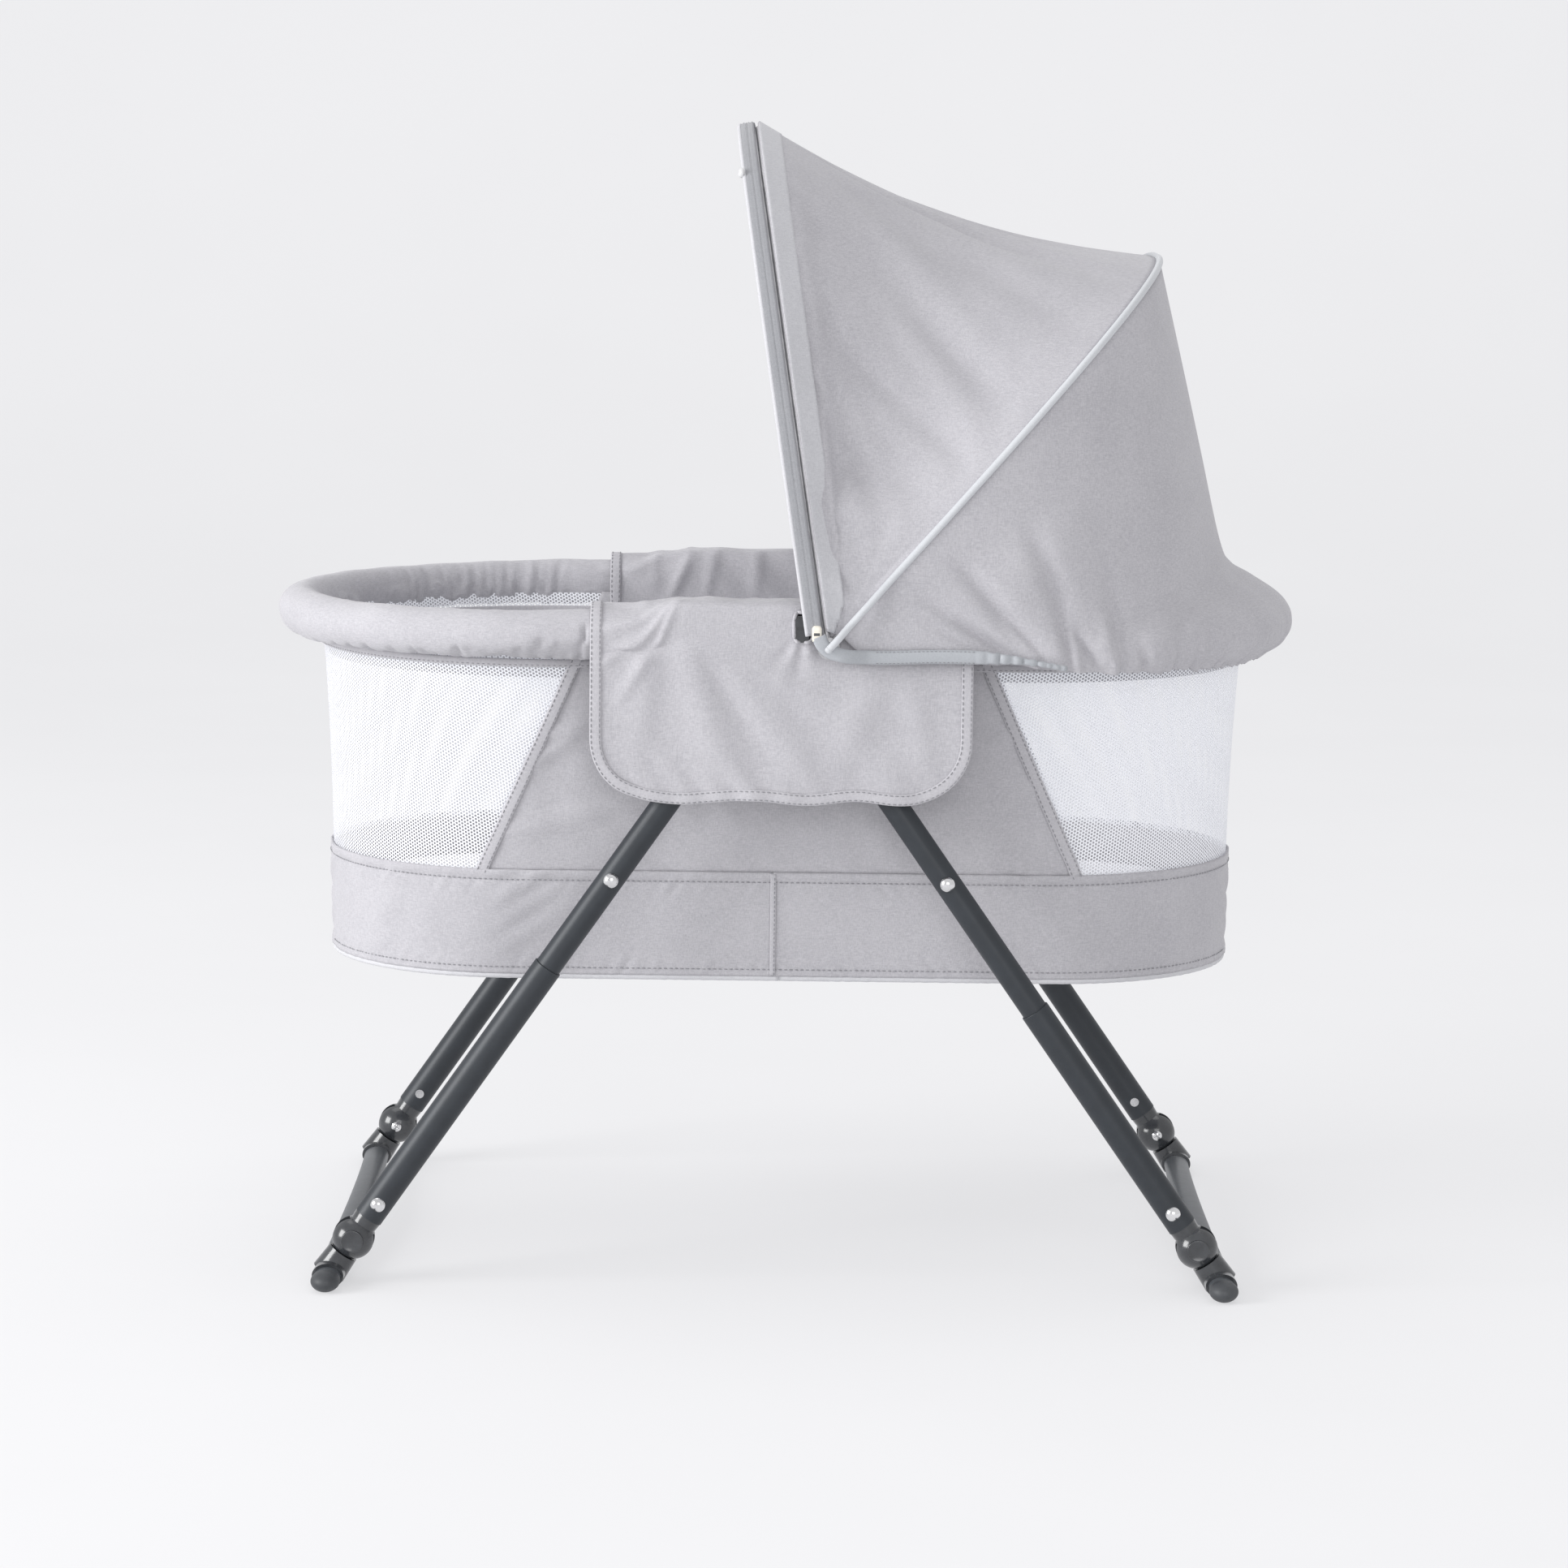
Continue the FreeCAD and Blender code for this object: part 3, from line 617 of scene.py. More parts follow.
def make_rim():
    """The padded roll in two halves, each closed by a puckered seam, and the tapes below it."""
    seam_angle = math.radians(-112)
    start, count = 86.0, 48
    full = 2 * RIM_HALF + math.pi * RIM_R
    l = np.linspace(start, full - start, 300)
    x, y, nx, ny = outline(RIM_HALF + RIM_R, RIM_R, l)
    angle = seam_angle + np.linspace(0, 2 * np.pi, count, endpoint=False)
    away = np.minimum(np.arange(count), count - np.arange(count)) * 2 * np.pi / count
    curve = smooth(l, RIM_HALF - 40, RIM_HALF + 60) * (1 - smooth(l, full - RIM_HALF - 60, full - RIM_HALF + 40))
    for sx, side in ((-1, "left"), (1, "right")):
        verts = np.zeros((len(l), count, 3))
        for j in range(count):
            c, s = math.cos(angle[j]), math.sin(angle[j])
            inside = max(-c, 0)
            r = PAD_R - 0.6 + 0.35 * waves(l, 50 + side.count("e"), 75) * math.cos(angle[j] * 2 + 0.6)
            r = r - 2.6 * bell(away[j], 0.16)
            pucker = waves(l + 3.0 * angle[j], 57, 15, spread=0.6)
            r = r + pucker * (0.75 * math.exp(-away[j] / 0.55) + 0.65 * inside * curve)
            r = r + 0.5 * curve * inside * waves(l, 58, 37)
            verts[:, j] = xyz(sx * (x + nx * r * c), y + ny * r * c, RIM_Z + r * s)
        faces = grid_faces(len(l), count, wrap=True, flip=sx > 0)
        caps = [list(range(count)), [(len(l) - 1) * count + j for j in range(count)][::-1]]
        caps = caps if sx > 0 else [cap[::-1] for cap in caps]
        pad = piece("rim_roll_" + side, (verts.reshape(-1, 3), faces + caps), LINEN, body=None)
        held = np.zeros((len(l), count))
        held[:, away < 0.2] = 1
        held[:3] = held[-3:] = 1
        billow(pad, held.ravel(), 3.0, 2.2, 0.05)
        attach(pad, "basket")
        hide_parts("rim_pad_" + side)
    piece("rim_binding", sweep(*ring_line(519.5, 1.2), strip_section(6.5, 1.5), closed=True), LINEN_TAPE)
    line, normal = ring_line(516.5, -4.6)
    piece("rim_facing", sweep(line, -normal, strip_section(19.0, 1.6), closed=True), LINEN)
    piece("rim_stitches", stitches(*ring_line(517.8, 2.5), closed=True), THREAD)


# ---- flaps over the hubs

HUB_LINE = [(-199.0, 508), (-200.0, 535), (-200.6, 556), (-202.5, 569), (-209, 575.8), (-224, 577),
            (-239, 576.8), (-246.4, 575), (-249.4, 569), (-249.4, 548)]
ROLL_AT = (-224.0, 545.0)
ROLL_LINE = [(-202.2, 512), (-200.8, 535), (-200.6, 549), (-204.5, 561), (-212.5, 568.5), (-224, 570.6),
             (-236, 568), (-244.5, 560), (-247.6, 549), (-248.2, 538)]


HUB_FOLDS = [((80, 96), (152, 132), 3.4, 5), ((84, 90), (157, 108), 3.0, 5), ((82, 100), (114, 142), 2.8, 4.5),
             ((80, 74), (146, 44), 3.6, 6), ((84, 82), (157, 68), 3.0, 5), ((82, 70), (106, 16), 3.2, 5),
             ((60, 78), (72, 20), 2.0, 6), ((22, 84), (26, 20), 1.8, 7), ((112, 88), (118, 30), 1.6, 6)]
DROP_FOLDS = [((-92, 584), (-36, 404), 4.6, 17), ((-84, 574), (44, 412), 3.2, 16),
              ((-104, 566), (-118, 440), 2.4, 12), ((-88, 572), (-152, 520), 3.6, 5),
              ((-90, 566), (-136, 488), 3.0, 6), ((-66, 556), (80, 462), 1.6, 12), ((92, 556), (40, 418), 2.4, 16),
              ((100, 540), (124, 424), 2.0, 12), ((-72, 545), (12, 408), -1.8, 9)]


def drop_y(x, z):
    """How far out the flap's hanging part lies: folds run down from its top left and round the slot."""
    room = 1 - 0.75 * smooth(x, 25, 50) * smooth(z, 490, 525)
    y = -248.2 - 0.8 * smooth(z, 520, 560) * (1 - smooth(np.abs(x), 75, 100))
    out = creases(x, z, DROP_FOLDS)
    out = out + (1.9 * waves(x, 63, 74) + 0.9 * waves(x + 0.6 * z, 64, 37)) * smooth(470 - z, 0, 55)
    r = np.hypot((x - SLOT_X) * 1.25, (z - SLOT_Z) * 0.75)
    turn = np.arctan2(z - SLOT_Z, x - SLOT_X)
    out = out + 2.2 * np.exp(-np.clip(r - 9, 0, 99) / 15) * np.sin(9 * turn + 1.1 * np.sin(3 * turn))
    out = out + 2.2 * bell(r - 14, 6)
    return y - np.clip(out, -0.6, 6.0) * room


def low_wave(x):
    return 1.7 * waves(x, 99, 88) * (1 - smooth(np.abs(x), 110, 150))


def flap_low(x):
    over = np.clip(np.abs(x) - (FLAP_HALF - FLAP_CORNER), 0, FLAP_CORNER)
    return FLAP_LOW + low_wave(x) + FLAP_CORNER - np.sqrt(FLAP_CORNER ** 2 - over ** 2)


def flap_column(x, top_rows, drop_rows):
    w = 1 - smooth(abs(x), 76, 118)
    line = catmull(np.array(HUB_LINE) * w + np.array(ROLL_LINE) * (1 - w), top_rows)
    over = xyz(x, *line.T)
    sag = waves(line[:, 1] * 0.7 + x, 66, 48) * smooth(line[:, 0], -248, -225)
    s = distances(line)
    folds = 1.6 * bell(abs(x) - 84, 11) * bell(s - 88, 26)
    folds = folds + creases(abs(x), s, HUB_FOLDS) * (1 if x < 0 else 0.7)
    over[:, 1:] += unit(line - ROLL_AT) * folds[:, None]
    over[:, 2] += 0.8 * waves(x, 67, 52) * bell(line[:, 0] - ROLL_AT[0], 20) - 0.4
    over[:, 1] += sag * 0.6
    z = np.linspace(line[-1, 1], flap_low(x), drop_rows + 1)[1:]
    ease = smooth(line[-1, 1] - z, 0, 14)
    y = line[-1, 0] * (1 - ease) + drop_y(x, z) * ease
    return np.concatenate([over, xyz(x, y, z)])


def hem_path():
    """Points in x and z along the flap's sides and its low edge, half a tape's width in."""
    inset = 4.8
    c, r, top = FLAP_HALF - FLAP_CORNER, FLAP_CORNER - inset, FLAP_LOW + FLAP_CORNER
    left = [(inset - FLAP_HALF, z) for z in np.linspace(532, top + 3, 16)]
    left += [(-c + r * math.cos(a), top + r * math.sin(a)) for a in np.radians(np.linspace(180, 270, 20))]
    low = [(x, FLAP_LOW + inset) for x in np.linspace(-c + 4, c - 4, 70)]
    xz = np.array(left + low + [(-x, z) for x, z in left[::-1]])
    xz[:, 1] += low_wave(xz[:, 0]) * (xz[:, 1] < 470)
    return xz.T


def make_flaps():
    top_rows, drop_rows = 44, 56
    rows = np.stack([flap_column(x, top_rows, drop_rows) for x in np.linspace(-FLAP_HALF, FLAP_HALF, 158)], axis=1)
    mid = (rows[:-1, :-1] + rows[1:, 1:]) / 2
    slot = (np.abs(mid[..., 0] - SLOT_X) / SLOT_HALF[0]) ** 4 + (np.abs(mid[..., 2] - SLOT_Z) / SLOT_HALF[1]) ** 4
    keep = ~((slot < 1) & (mid[..., 1] < -240))
    left, right = [flap_column(sx * (FLAP_HALF - 4.8), top_rows, 8)[:top_rows] for sx in (-1, 1)]
    x, z = hem_path()
    line = np.concatenate([left, xyz(x, drop_y(x, z), z), right[::-1]])
    normal = line - [0, *ROLL_AT]
    normal[:, 0] = 0
    normal[top_rows:-top_rows] = (0, -1, 0)
    normal = unit(normal)
    line, normal = resample(line + normal * 0.2, normal, 3.0)
    across = np.cross(unit(np.gradient(line, axis=0)), normal)
    thread = merge([stitches(line + across * offset + normal * 1.3, normal) for offset in (-3.5, 3.5)])
    turn = np.linspace(0, 2 * np.pi, 48, endpoint=False)
    c, s = np.cos(turn), np.sin(turn)
    x = SLOT_X + (SLOT_HALF[0] + 0.6) * np.sign(c) * np.abs(c) ** 0.5
    z = SLOT_Z + (SLOT_HALF[1] + 0.6) * np.sign(s) * np.abs(s) ** 0.5
    ring = sweep(xyz(x, drop_y(x, z) - 0.1, z), facing_front(48), round_section(1.5), closed=True)
    for sy, side in ((-1, "front"), (1, "rear")):
        cloth = piece("hub_flap_" + side, both_sides(thick_grid(rows, 1.6, -1, keep), sy), LINEN)
        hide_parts("flap_" + side)
        tape = both_sides(sweep(line, normal, strip_section(9.6, 1.5)), sy)
        piece("flap_binding_" + side, tape, LINEN_TAPE)
        piece("flap_stitches_" + side, both_sides(thread, sy), THREAD)
        piece("slot_edge_" + side, both_sides(ring, sy), LINEN_TAPE)


# ---- mattress

def quilting(rows):
    """How far from the two sets of quilting lines, 0 on a line and 1 halfway between two."""
    x, y = rows[..., 0], rows[..., 1]
    return [np.abs(np.sin(np.pi * d / TUFT)) for d in (x + y, x - y)]


def make_mattress():
    a, b = section_at(BASE_Z)
    a, b = a - 7.0, b - 7.0
    profile = [(inset, MATTRESS_LOW + up)
               for inset, up in ((1.0, 0), (0.35, 0), (0.12, 0), (0.03, 0.6), (0.006, 3), (0.0, 9))]
    profile += [(inset, MATTRESS_TOP - down)
                for inset, down in ((0.0, 10), (0.006, 4), (0.03, 1.2), (0.07, 0.4), (0.12, 0))]
    profile += [(inset, MATTRESS_TOP) for inset in np.linspace(0.16, 1.0, 34)]
    s = a - b
    l = np.linspace(0, 2 * s + math.pi * b, 160, endpoint=False)
    x, y, nx, ny = outline(a, b, l)
    edge_x = np.clip(x, -s, s)
    half_turned = [-1, -1, 1]
    rows = []
    for inset, z in profile:
        ring = xyz(edge_x + (x - edge_x) * (1 - inset), y * (1 - inset), z)
        ring = np.concatenate([ring, ring * half_turned])
        if z >= MATTRESS_TOP:
            ring[:, 2] += 0.4
            for away in quilting(ring):
                ring[:, 2] -= 2.6 * bell(away, 0.13) * smooth(inset, 0.1, 0.2)
        rows.append(ring)
    rows = np.array(rows)
    m, n = rows.shape[:2]
    faces = grid_faces(m, n, wrap=True)
    for base, turn in ((0, -1), ((m - 1) * n, 1)):
        faces += [[base + j, base + j + 1, base + n - 2 - j, base + n - 1 - j][::turn] for j in range(n // 2 - 1)]
    pad = piece("mattress_pad", (rows.reshape(-1, 3), faces), QUILT, None)
    sewn = np.minimum(*quilting(rows)) < 0.1
    held = np.where((rows[..., 2] < MATTRESS_TOP - 9) | sewn, 1.0, 0.0)
    billow(pad, held.ravel(), 3.0, 3.5, 0.03)
    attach(pad, "basket")
    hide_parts("mattress")
    trim = []
    for z in (MATTRESS_LOW + 4, MATTRESS_TOP - 5):
        halves = xyz(x + nx * 0.6, y + ny * 0.6, z), xyz(nx, ny, 0.0)
        line, normal = [np.concatenate([half, half * half_turned]) for half in halves]
        trim.append(sweep(line, normal, round_section(1.9), closed=True))
    piece("mattress_piping", merge(trim), QUILT)


# ---- canopy

def bow_line(bow, t, grow=0.0, back=0.0):
    """Points of a bow's arch: t runs from -1 at the front eye to 1 at the rear eye."""
    tilt, height, half = BOWS[bow]
    turn = (np.asarray(t, float) + 1) * math.pi / 2
    c, s = np.cos(turn), np.sin(turn)
    reach = (np.abs(c / (half + grow)) ** 3 + np.abs(s / (height + grow)) ** 3) ** (-1 / 3)
    a = math.radians(tilt)
    h = reach * s
    return xyz(CAN_X + h * math.sin(a) - back * math.cos(a), -reach * c,
               CAN_Z + h * math.cos(a) + back * math.sin(a))


def front_surface(t, v, extra=0.0):
    """The cloth between the bows: t along the arch, v from the front bow to the rear one."""
    a = bow_line("front", t, 5.5 + extra)
    b = bow_line("rear", t, 5.5 + extra)
    p = a + (b - a) * v[..., None]
    inward = unit(np.array([CAN_X, 0.0, CAN_Z]) - p)
    sag = 4 * v * (1 - v) * PANEL_SAG * np.cos(t * math.pi / 2)
    side = smooth(np.abs(t), 0.22, 0.42) * (1 - smooth(np.abs(t), 0.7, 0.9))
    sag = sag + 12.0 * 6.75 * v * (1 - v) ** 2 * side
    return p + inward * sag[..., None]


def clear_of_flap(rows):
    """Near the pivot the cloth stays outside the flap it folds down beside."""
    r = np.hypot(rows[..., 0] - CAN_X, rows[..., 2] - CAN_Z)
    near = 1 - smooth(r, 110, 150)
    y = np.abs(rows[..., 1])
    low = 256.6 + 0.15 * (y - 256.6)
    rows[..., 1] = np.sign(rows[..., 1]) * np.where(y < 256.6, y + (low - y) * near, y)
    return rows


FRONT_FOLDS = [((330, 40), (620, 150), 7.0, 15), ((360, 25), (600, 100), -4.5, 13),
               ((250, 24), (560, 44), 4.5, 10), ((420, 180), (640, 240), 3.5, 16)]


def fold_field(t, v):
    """Soft folds that run down and back from the front bow."""
    s = t * 640.0
    d = v * 300.0
    out = 0.0
    rng = np.random.default_rng(7)
    for k in range(15):
        at = -600 + k * 84 + 24 * (rng.random() - 0.5)
        lean = (-150 if at < 0 else 150) * (0.6 + 0.6 * rng.random())
        out = out + crease(s, d, (at, 8 + 40 * rng.random()), (at + lean, 290),
                           4.4 + 3.0 * rng.random(), 13 + 10 * rng.random())
    out = out + creases(-s, d, FRONT_FOLDS) + creases(s, d, FRONT_FOLDS)
    out = out + 1.1 * waves(s + 0.8 * d, 71, 60) * np.sin(np.pi * v)
    gap = v * np.linalg.norm(bow_line("rear", t) - bow_line("front", t), axis=-1)
    drift, side = waves(s, 97, 55), smooth(np.abs(t), 0.1, 0.35)
    out = out - 3.4 * side * bell(gap - 27 - 3.0 * drift, 6.5) * (0.65 + 0.35 * waves(s, 98, 70))
    out = out + 2.2 * side * bell(gap - 40 - 4.0 * drift, 8) * (0.6 + 0.6 * waves(s, 94, 60))
    return out * smooth(v, 0.0, 0.16) * (1 - smooth(v, 0.86, 1.0)) * smooth(1 - np.abs(t), 0.08, 0.3)


def angle_weights(obj, low, high, firm=None):
    """Bakes obj's placement into its mesh and works out a weight per vertex from its angle about the canopy's
    pivot line; the weights are not used.
    """
    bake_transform(obj)
    co = np.zeros(len(obj.data.vertices) * 3)
    obj.data.vertices.foreach_get("co", co)
    co = co.reshape(-1, 3) / MM
    angle = np.degrees(np.arctan2(co[:, 0] - CAN_X, co[:, 2] - CAN_Z))
    w = np.clip((angle - low) / (high - low), 0, 1)
    if firm is not None:
        w = np.maximum(w, firm(co))


def hem_line(t, grow, z):
    r = RIM_R + grow
    start = CAN_X + 14
    straight = RIM_HALF - start
    d = (1 - np.abs(t)) * (straight + r * math.pi / 2)
    a = np.maximum(d - straight, 0) / r
    x = np.where(d < straight, start + d, RIM_HALF + r * np.sin(a))
    y = np.where(d < straight, r, r * np.cos(a)) * np.where(t < 0, -1, 1)
    return xyz(x, y, z)


def rear_rows(cols, count):
    t = np.linspace(-FABRIC_REACH, FABRIC_REACH, cols)
    end = np.cos(t * math.pi / 2) ** 3.2
    a = bow_line("rear", t, 6.2)
    near = 1 - 3.1 / 261 * smooth(np.abs(t), 0.84, 0.93)
    a[:, 1] *= near
    low = []
    for (g, ze, zs), dip in zip(SKIRT, SKIRT_DIP):
        row = hem_line(t, SKIRT_SIDE + (g - SKIRT_SIDE) * end, zs + (ze - zs) * end)
        row[:, 2] -= 9.0 * dip * smooth(row[:, 0], 150, 270)
        low.append(row)
    drop = low[0] - a
    rows = [a + unit(drop) * 1.5, a + drop * 0.33, a + drop * 0.66] + low
    fall = hem_line(t, np.full(cols, SKIRT_SIDE - 1.5), low[-1][:, 2]) - a
    share = (0.006, 0.30, 0.58, 0.76, 0.82, 0.875, 0.92, 0.955, 0.98, 1.0)
    flare = smooth(np.cos(t * math.pi / 2), 0.30, 0.92)[:, None]
    rows = [row * flare + (a + fall * f) * (1 - flare) for row, f in zip(rows, share)]
    return t, catmull(np.array(rows), count)


# where the elastic starts, soft folds climb from the hem and lean forwards
HEM_FOLDS = [((236, 505), (118, 640), 7.0, 8), ((262, 500), (196, 650), 7.5, 9), ((218, 516), (140, 566), 5.0, 5),
             ((222, 520), (176, 568), -3.5, 4), ((240, 520), (226, 566), 4.5, 4), ((266, 516), (238, 560), 4.5, 4),
             ((300, 508), (290, 556), 3.5, 5), ((352, 512), (360, 566), 3.0, 6), ((214, 512), (90, 600), 4.0, 6),
             ((288, 500), (262, 620), 4.5, 8), ((322, 496), (338, 610), 3.5, 8), ((196, 520), (110, 566), 2.6, 4),
             ((249, 510), (232, 585), -4.0, 6), ((274, 505), (262, 575), -3.2, 6),
             ((80, 560), (240, 740), 3.0, 26), ((150, 560), (290, 700), -2.5, 24)]


def between_bows(obj):
    angle_weights(obj, BOWS["front"][0], BOWS["rear"][0])


def make_canopy():
    t = np.linspace(-FABRIC_REACH, FABRIC_REACH, 220)
    v = np.linspace(0, 1, 60)
    vv, tt = np.meshgrid(v, t, indexing="ij")
    rows = front_surface(tt, vv)
    rows = clear_of_flap(rows + grid_normals(rows) * fold_field(tt, vv)[..., None])
    front = piece("canopy_cloth_front", thick_grid(rows, 1.3, 1), LINEN, body=None)
    between_bows(front)
    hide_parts("canopy_front_panel")

    t, rows = rear_rows(400, 84)
    level = np.linspace(0, 1, 84)[:, None]
    along = distances(rows[-20])[None, :]
    side = smooth(np.abs(t), 0.25, 0.6)[None, :]
    gather = smooth(level, 0.62, 0.98)
    normal = grid_normals(rows)
    shape = gather * (0.55 + 0.75 * side) * (1.6 * waves(along, 81, 17, spread=0.6) + 0.8 * waves(along, 82, 41))
    shape = shape + smooth(level, 0.2, 0.75) * 1.1 * waves(along + 60 * level, 83, 95)
    shape = shape + (1 - gather) * 0.7 * waves(along * 0.8 + 90 * level, 84, 120) * smooth(level, 0.02, 0.2)
    elastic = smooth(level, 0.9, 0.99) * smooth(rows[..., 0], 140, 200)
    shape = shape + elastic * 1.7 * waves(along, 85, 10.5, spread=0.5)
    near = smooth(np.abs(t), 0.28, 0.5)[None, :] * smooth(level, 0.03, 0.2)
    shape = shape + near * creases(rows[..., 0], rows[..., 2], HEM_FOLDS)
    rows = rows + normal * shape[..., None] * (1 - 0.8 * smooth(np.abs(t), 0.86, 0.95))[None, :, None]
    rear = piece("canopy_cloth_rear", thick_grid(rows, 1.3, 1), LINEN, body=None)
    angle_weights(rear, BOWS["rear"][0], 90.0,
                  firm=lambda co: (1 - smooth(co[:, 2], 556, 600)) * smooth(co[:, 0], 130, 260))
    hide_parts("canopy_rear_panel")
    make_hem_tape(rows)
    make_front_edge()
    t = np.linspace(-0.999, 0.999, 220)
    line = bow_line("rear", t, 7.4)
    line[:, 1] *= 1 + (6.8 * smooth(np.abs(t), 0.80, 0.91) + 7.0 * smooth(np.abs(t), 0.93, 0.98)) / 262
    normal = unit(line - np.array([CAN_X + 120, 0, CAN_Z + 60]))
    piece("bow_piping", sweep(line, normal, round_section(3.0, 12)), PIPE, "rear_bow")


def make_hem_tape(rows):
    """Satin tape along the lower side edges, and the elastic's stitches round the hem."""
    path = catmull(np.array([(30, 551), (33, 544.5), (40, 538.5), (54, 534.8), (70, 533.5), (90, 533.5),
                             (120, 534.5), (150, 534.6), (180, 533.4), (206, 530.5), (232, 526)]), 120)
    x, z = path.T
    gathers = smooth(x, 148, 170)
    y = -259.6 - 1.3 * gathers * waves(x, 91, 8) - 9.8 * (1 - smooth(x, 47, 72))
    line, normal = xyz(x, y, z), facing_front(len(path))
    slim = 1 - 0.6 * smooth(x, 150, 215) + 0.10 * gathers * waves(x, 93, 9)
    section = strip_section(11.5, 2.2, 1.6)[None] * np.stack([slim, np.ones_like(slim)], axis=1)[:, None, :]
    tape = sweep(line, normal, section)
    edges = [stitches(line[52:88] + [0, -1.6, edge], normal[52:88], pitch=3.4, length=2.4, r=0.3)
             for edge in (-4.6, 4.6)]
    up = grid_normals(rows)[-8]
    elastic = stitches(rows[-8] + up * 0.2, up, pitch=5.0)
    piece("hem_tape", near_and_far([tape]), SATIN)
    piece("hem_stitches", merge([elastic, near_and_far(edges)]), THREAD)


def dome(centre, axis, radius, height, rings=9, count=28):
    """A soft button shape: a wall that closes over into a dome along the axis."""
    axis = unit(np.array(axis, float))
    side_a = unit(np.cross(axis, [0.31, 0.17, 0.93]))
    side_b = np.cross(axis, side_a)
    a = np.linspace(0, 2 * np.pi, count, endpoint=False)[:, None]
    circle = side_a * np.cos(a) + side_b * np.sin(a)
    verts = []
    for i in range(rings):
        up = i / (rings - 1.0)
        r = radius * max(1 - up ** 3, 0.0) ** 0.5 + (0.02 if i == rings - 1 else 0)
        verts.append(np.array(centre) + circle * max(r, radius * 0.04) + axis * height * up)
    faces = grid_faces(rings, count, wrap=True)
    faces += [list(range(count))[::-1], [(rings - 1) * count + j for j in range(count)]]
    return np.concatenate(verts), faces


def make_fittings():
    """The zip's end stop and pull, the rounded ends of the piping and the sockets' screws."""
    tips = [dome((38.1, sy * 275.9, 541.1), (-0.45, sy * 0.5, -0.75), 3.1, 3.0) for sy in (-1, 1)]
    piece("piping_ends", merge(tips), PIPE, "rear_bow")
    x, y, low_z = bow_line("front", -0.971, 7.2, 8.0)
    z = np.linspace(-6, 8, 12)
    end = np.clip(np.minimum(z + 6, 8 - z) / 1.6, 0.35, 1.0) ** 0.5
    section = strip_section(8.0, 3.0)[None] * end[:, None, None]
    bar = sweep(xyz(x, y + 1.2, low_z + z), facing_front(12), section)
    stop = piece("zip_stop", bar, CREAM, "front_bow")
    # A dark gloss strip across the stop's face: painted shade standing in for the shadow inside the stop's groove.
    notch_shade = sweep(xyz(x + np.linspace(-2.4, 2.4, 6), y - 1.6, low_z + 1.0), facing_front(6),
                  strip_section(2.2, 0.45, 0.3))
    piece("zip_stop_notch", notch_shade, GLOSS, "front_bow")
    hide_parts("zip_fittings")
    high = bow_line("front", -0.262, 6.5, 17.0)
    out = (-1.0, -0.25, 0.1)
    pull = merge([dome(high, out, 4.1, 3.4), dome(high - unit(np.array(out)) * 1.2, out, 2.4, 2.0)])
    piece("zip_pull", pull, ZIP_TEETH, "front_bow")
    for side, sx in (("left", -1), ("right", 1)):
        down = np.array([sx * math.sin(LEG_LEAN), 0, -math.cos(LEG_LEAN)])
        ball = [sx * (LEG_X + LEG_LEN * math.sin(LEG_LEAN)), 0, FOOT_AXIS_Z + BALL_UP * math.cos(LEG_LEAN)]
        screws = [dome(ball + down * 27.0 + [0, sy * BALL_Y + facing * 12.6, 0], (0, facing, 0), 2.6, 1.7, 7, 20)
                  for sy in (-1, 1) for facing in (-1, 1)]
        piece("socket_screws_" + side, merge(screws), CHROME, side + "_foot")


def make_front_edge():
    """The zip tape before the front bow and the hem band behind it."""
    t = np.linspace(-0.97, 0.97, 260)
    profile = ((4.0, 0.0), (5.2, 1.1), (6.6, 0.3), (8.0, 1.1), (9.2, 0.2), (9.9, 0.9), (10.6, 0.2), (12.0, 1.1),
               (13.4, 0.3), (14.6, 0.5))
    rows = np.array([bow_line("front", t, 4.9 + lift, back) for back, lift in profile])
    strip = piece("zip_band", thick_grid(rows, 1.4, -1), ZIP_TAPE, "front_bow")
    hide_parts("zip_strip")
    line = bow_line("front", t, 5.2, 15.6)
    core = np.array([CAN_X, 0, CAN_Z + 60])
    pipe = sweep(line, unit(line - core), round_section(1.8))
    piece("zip_edge_piping", pipe, LINEN_LIGHT, "front_bow")
    line = bow_line("front", t, 5.7, 9.9)
    teeth, up = resample(line, unit(line - core), 2.1)
    tangent = unit(np.gradient(teeth, axis=0))
    across = np.cross(tangent, up)
    box = np.array([(-1, -1), (1, -1), (1, 1), (-1, 1)], float)
    parts = []
    faces = grid_faces(3, 4, wrap=True) + [[3, 2, 1, 0], [8, 9, 10, 11]]
    for at, side, ahead, out in zip(teeth, across, tangent, up):
        ring = [at + side * f + ahead * box[:, :1] * 0.62 * k + out * (0.45 + box[:, 1:] * 0.42 * k)
                for f, k in ((-1.7, 0.7), (0.0, 1.0), (1.7, 0.7))]
        parts.append((np.concatenate(ring), faces))
    piece("zip_coil", merge(parts), ZIP_TEETH, "front_bow")
    t = np.linspace(-0.965, 0.965, 220)
    width = np.linalg.norm(bow_line("rear", t) - bow_line("front", t), axis=1)
    rows = []
    for d in np.linspace(1.0, 20.0, 10):
        v = np.minimum(d / width, 0.55)
        p = front_surface(t, v, 1.2)
        ripple = 0.9 * waves(t * 640, 96, 40) * (d / 20) * smooth(np.abs(t), 0.1, 0.3)
        rows.append(p + unit(p - np.array([CAN_X, 0, CAN_Z])) * ripple[:, None])
    rows = np.array(rows)
    band = piece("hem_band", thick_grid(rows, 1.1, 1), HEM_CLOTH, body=None)
    between_bows(band)
    normal = grid_normals(rows)
    thread = merge([stitches(rows[i] + normal[i] * 0.1, normal[i]) for i in (1, 8)])
    sewn = piece("hem_band_stitches", thread, THREAD, body=None)
    between_bows(sewn)


# ---- CAD nodes that stay

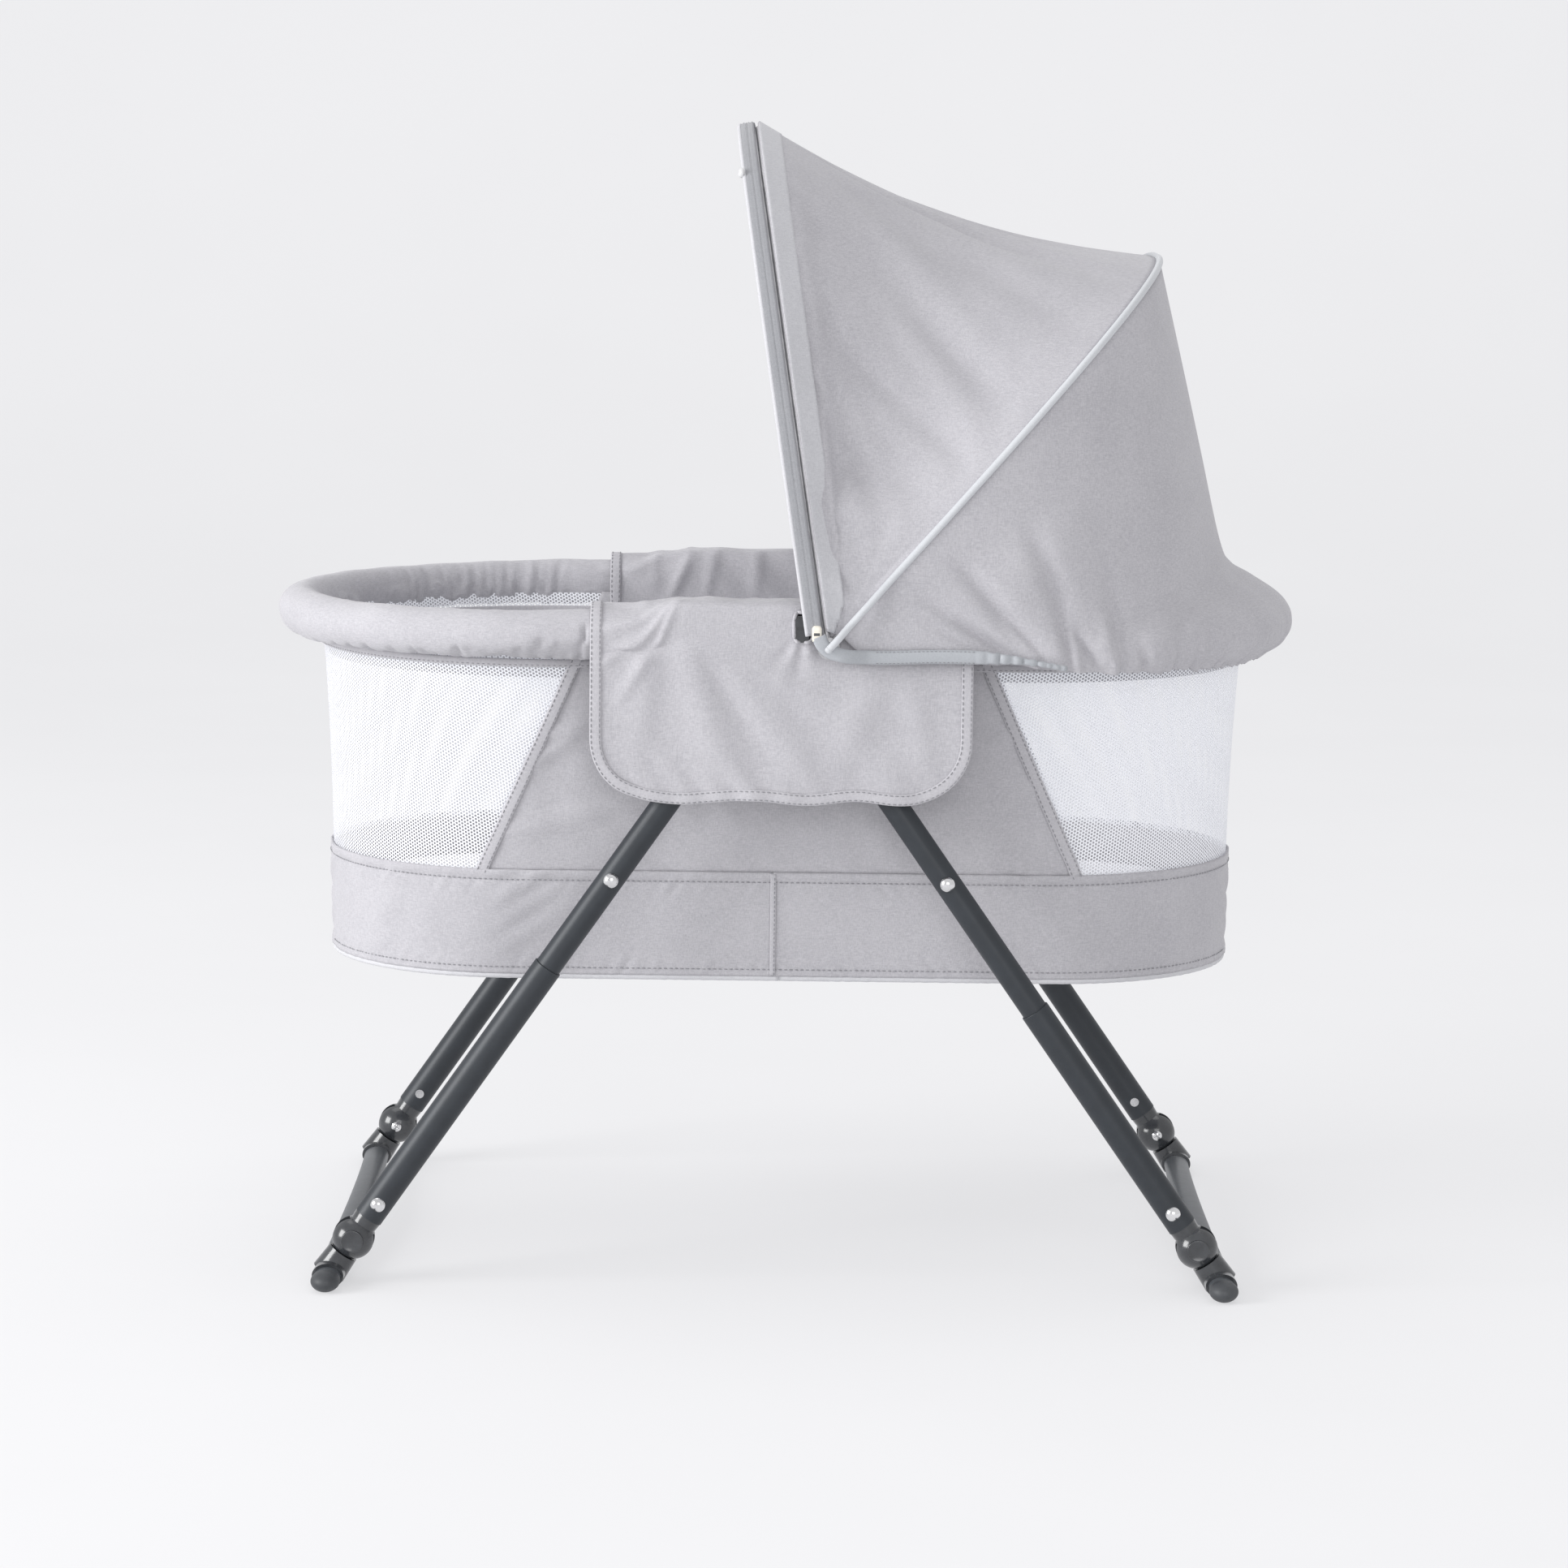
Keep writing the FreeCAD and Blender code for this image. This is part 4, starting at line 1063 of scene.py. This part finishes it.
def paint_nodes():
    kinds = {
        "upper_tube": PAINT, "sleeve": PAINT, "foot_bar": BAR_PAINT, "knuckle": GLOSS, "knuckle_pin": CHROME,
        "button": GLOSS, "rivets": CHROME, "socket": GLOSS, "plugs": MATTE, "hub": MATTE, "bolts": CHROME,
        "latch": GLOSS, "rim_tube": STEEL, "bow": STEEL, "base_board": UNDER, "zip_fittings": CREAM,
    }
    for name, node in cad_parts.items():
        match = [kind for kind in kinds if (name + "_").startswith(kind + "_")]
        material = kinds[max(match, key=len)] if match else LINEN
        for slot in node.material_slots:
            slot.material = material


# ---- floor, light and camera

def make_stage():
    """A pale floor that curves up into a backdrop far behind."""
    profile = [(-6.0, 0.0), (-2.0, 0.0), (2.0, 0.0), (4.0, 0.0), (5.2, 0.12), (6.0, 0.55), (6.3, 1.4), (6.35, 4.0),
               (6.35, 7.0)]
    line = catmull(np.array(profile), 60)
    rows = np.array([xyz(np.linspace(-8, 8, 20), y, z - 0.0002) for y, z in line])
    shade = Shade("floor_pale")
    shade.give(shade.inputs, {
        "Base Color": shade.ramp(shade.noise(1.4), 0.3, (0.30, 0.30, 0.303), 0.7, (0.31, 0.31, 0.313)),
        "Roughness": 0.85, "Specular IOR Level": 0.0,
        "Emission Color": (0.98, 0.98, 1.0, 1), "Emission Strength": 0.56})
    new_mesh("floor", rows.reshape(-1, 3), grid_faces(60, 20), shade.material)


def area_light(name, place_at, look_at, size, power):
    light = bpy.data.lights.new(name, "AREA")
    light.shape = "RECTANGLE"
    light.size, light.size_y = size
    light.energy = power
    obj = new_object(name, light)
    obj.location = place_at
    obj.rotation_euler = (Vector(look_at) - Vector(place_at)).to_track_quat("-Z", "Y").to_euler()


def make_light():
    world = bpy.data.worlds.new("studio")
    bpy.context.scene.world = world
    world.use_nodes = True
    inputs = world.node_tree.nodes["Background"].inputs
    inputs["Color"].default_value = (1.0, 1.0, 1.01, 1)
    inputs["Strength"].default_value = 0.77
    area_light("key", (-4.2, -1.9, 1.7), (0, 0, 0.5), (2.4, 2.4), 190)
    area_light("fill", (0.6, -4.8, 1.7), (0, 0, 0.5), (2.5, 2.0), 48)
    area_light("top", (-0.4, 0.9, 3.8), (0, 0, 0.4), (3.0, 2.0), 18)


def make_camera():
    camera = bpy.data.cameras.new("camera")
    camera.sensor_width = 36.0
    camera.lens = 111.28
    camera.clip_end = 60.0
    obj = new_object("camera", camera)
    tilt = Matrix.Rotation(math.radians(90.0 - CAMERA_DOWN), 4, "X")
    roll = Matrix.Rotation(math.radians(CAMERA_ROLL), 4, "Z")
    obj.matrix_world = Matrix.Translation(CAMERA_AT) @ tilt @ roll
    bpy.context.scene.camera = obj


bpy.context.scene.view_settings.view_transform = "Standard"
make_walls()
make_bands()
make_rim()
make_flaps()
make_mattress()
make_canopy()
make_fittings()
paint_nodes()
make_stage()
make_light()
make_camera()
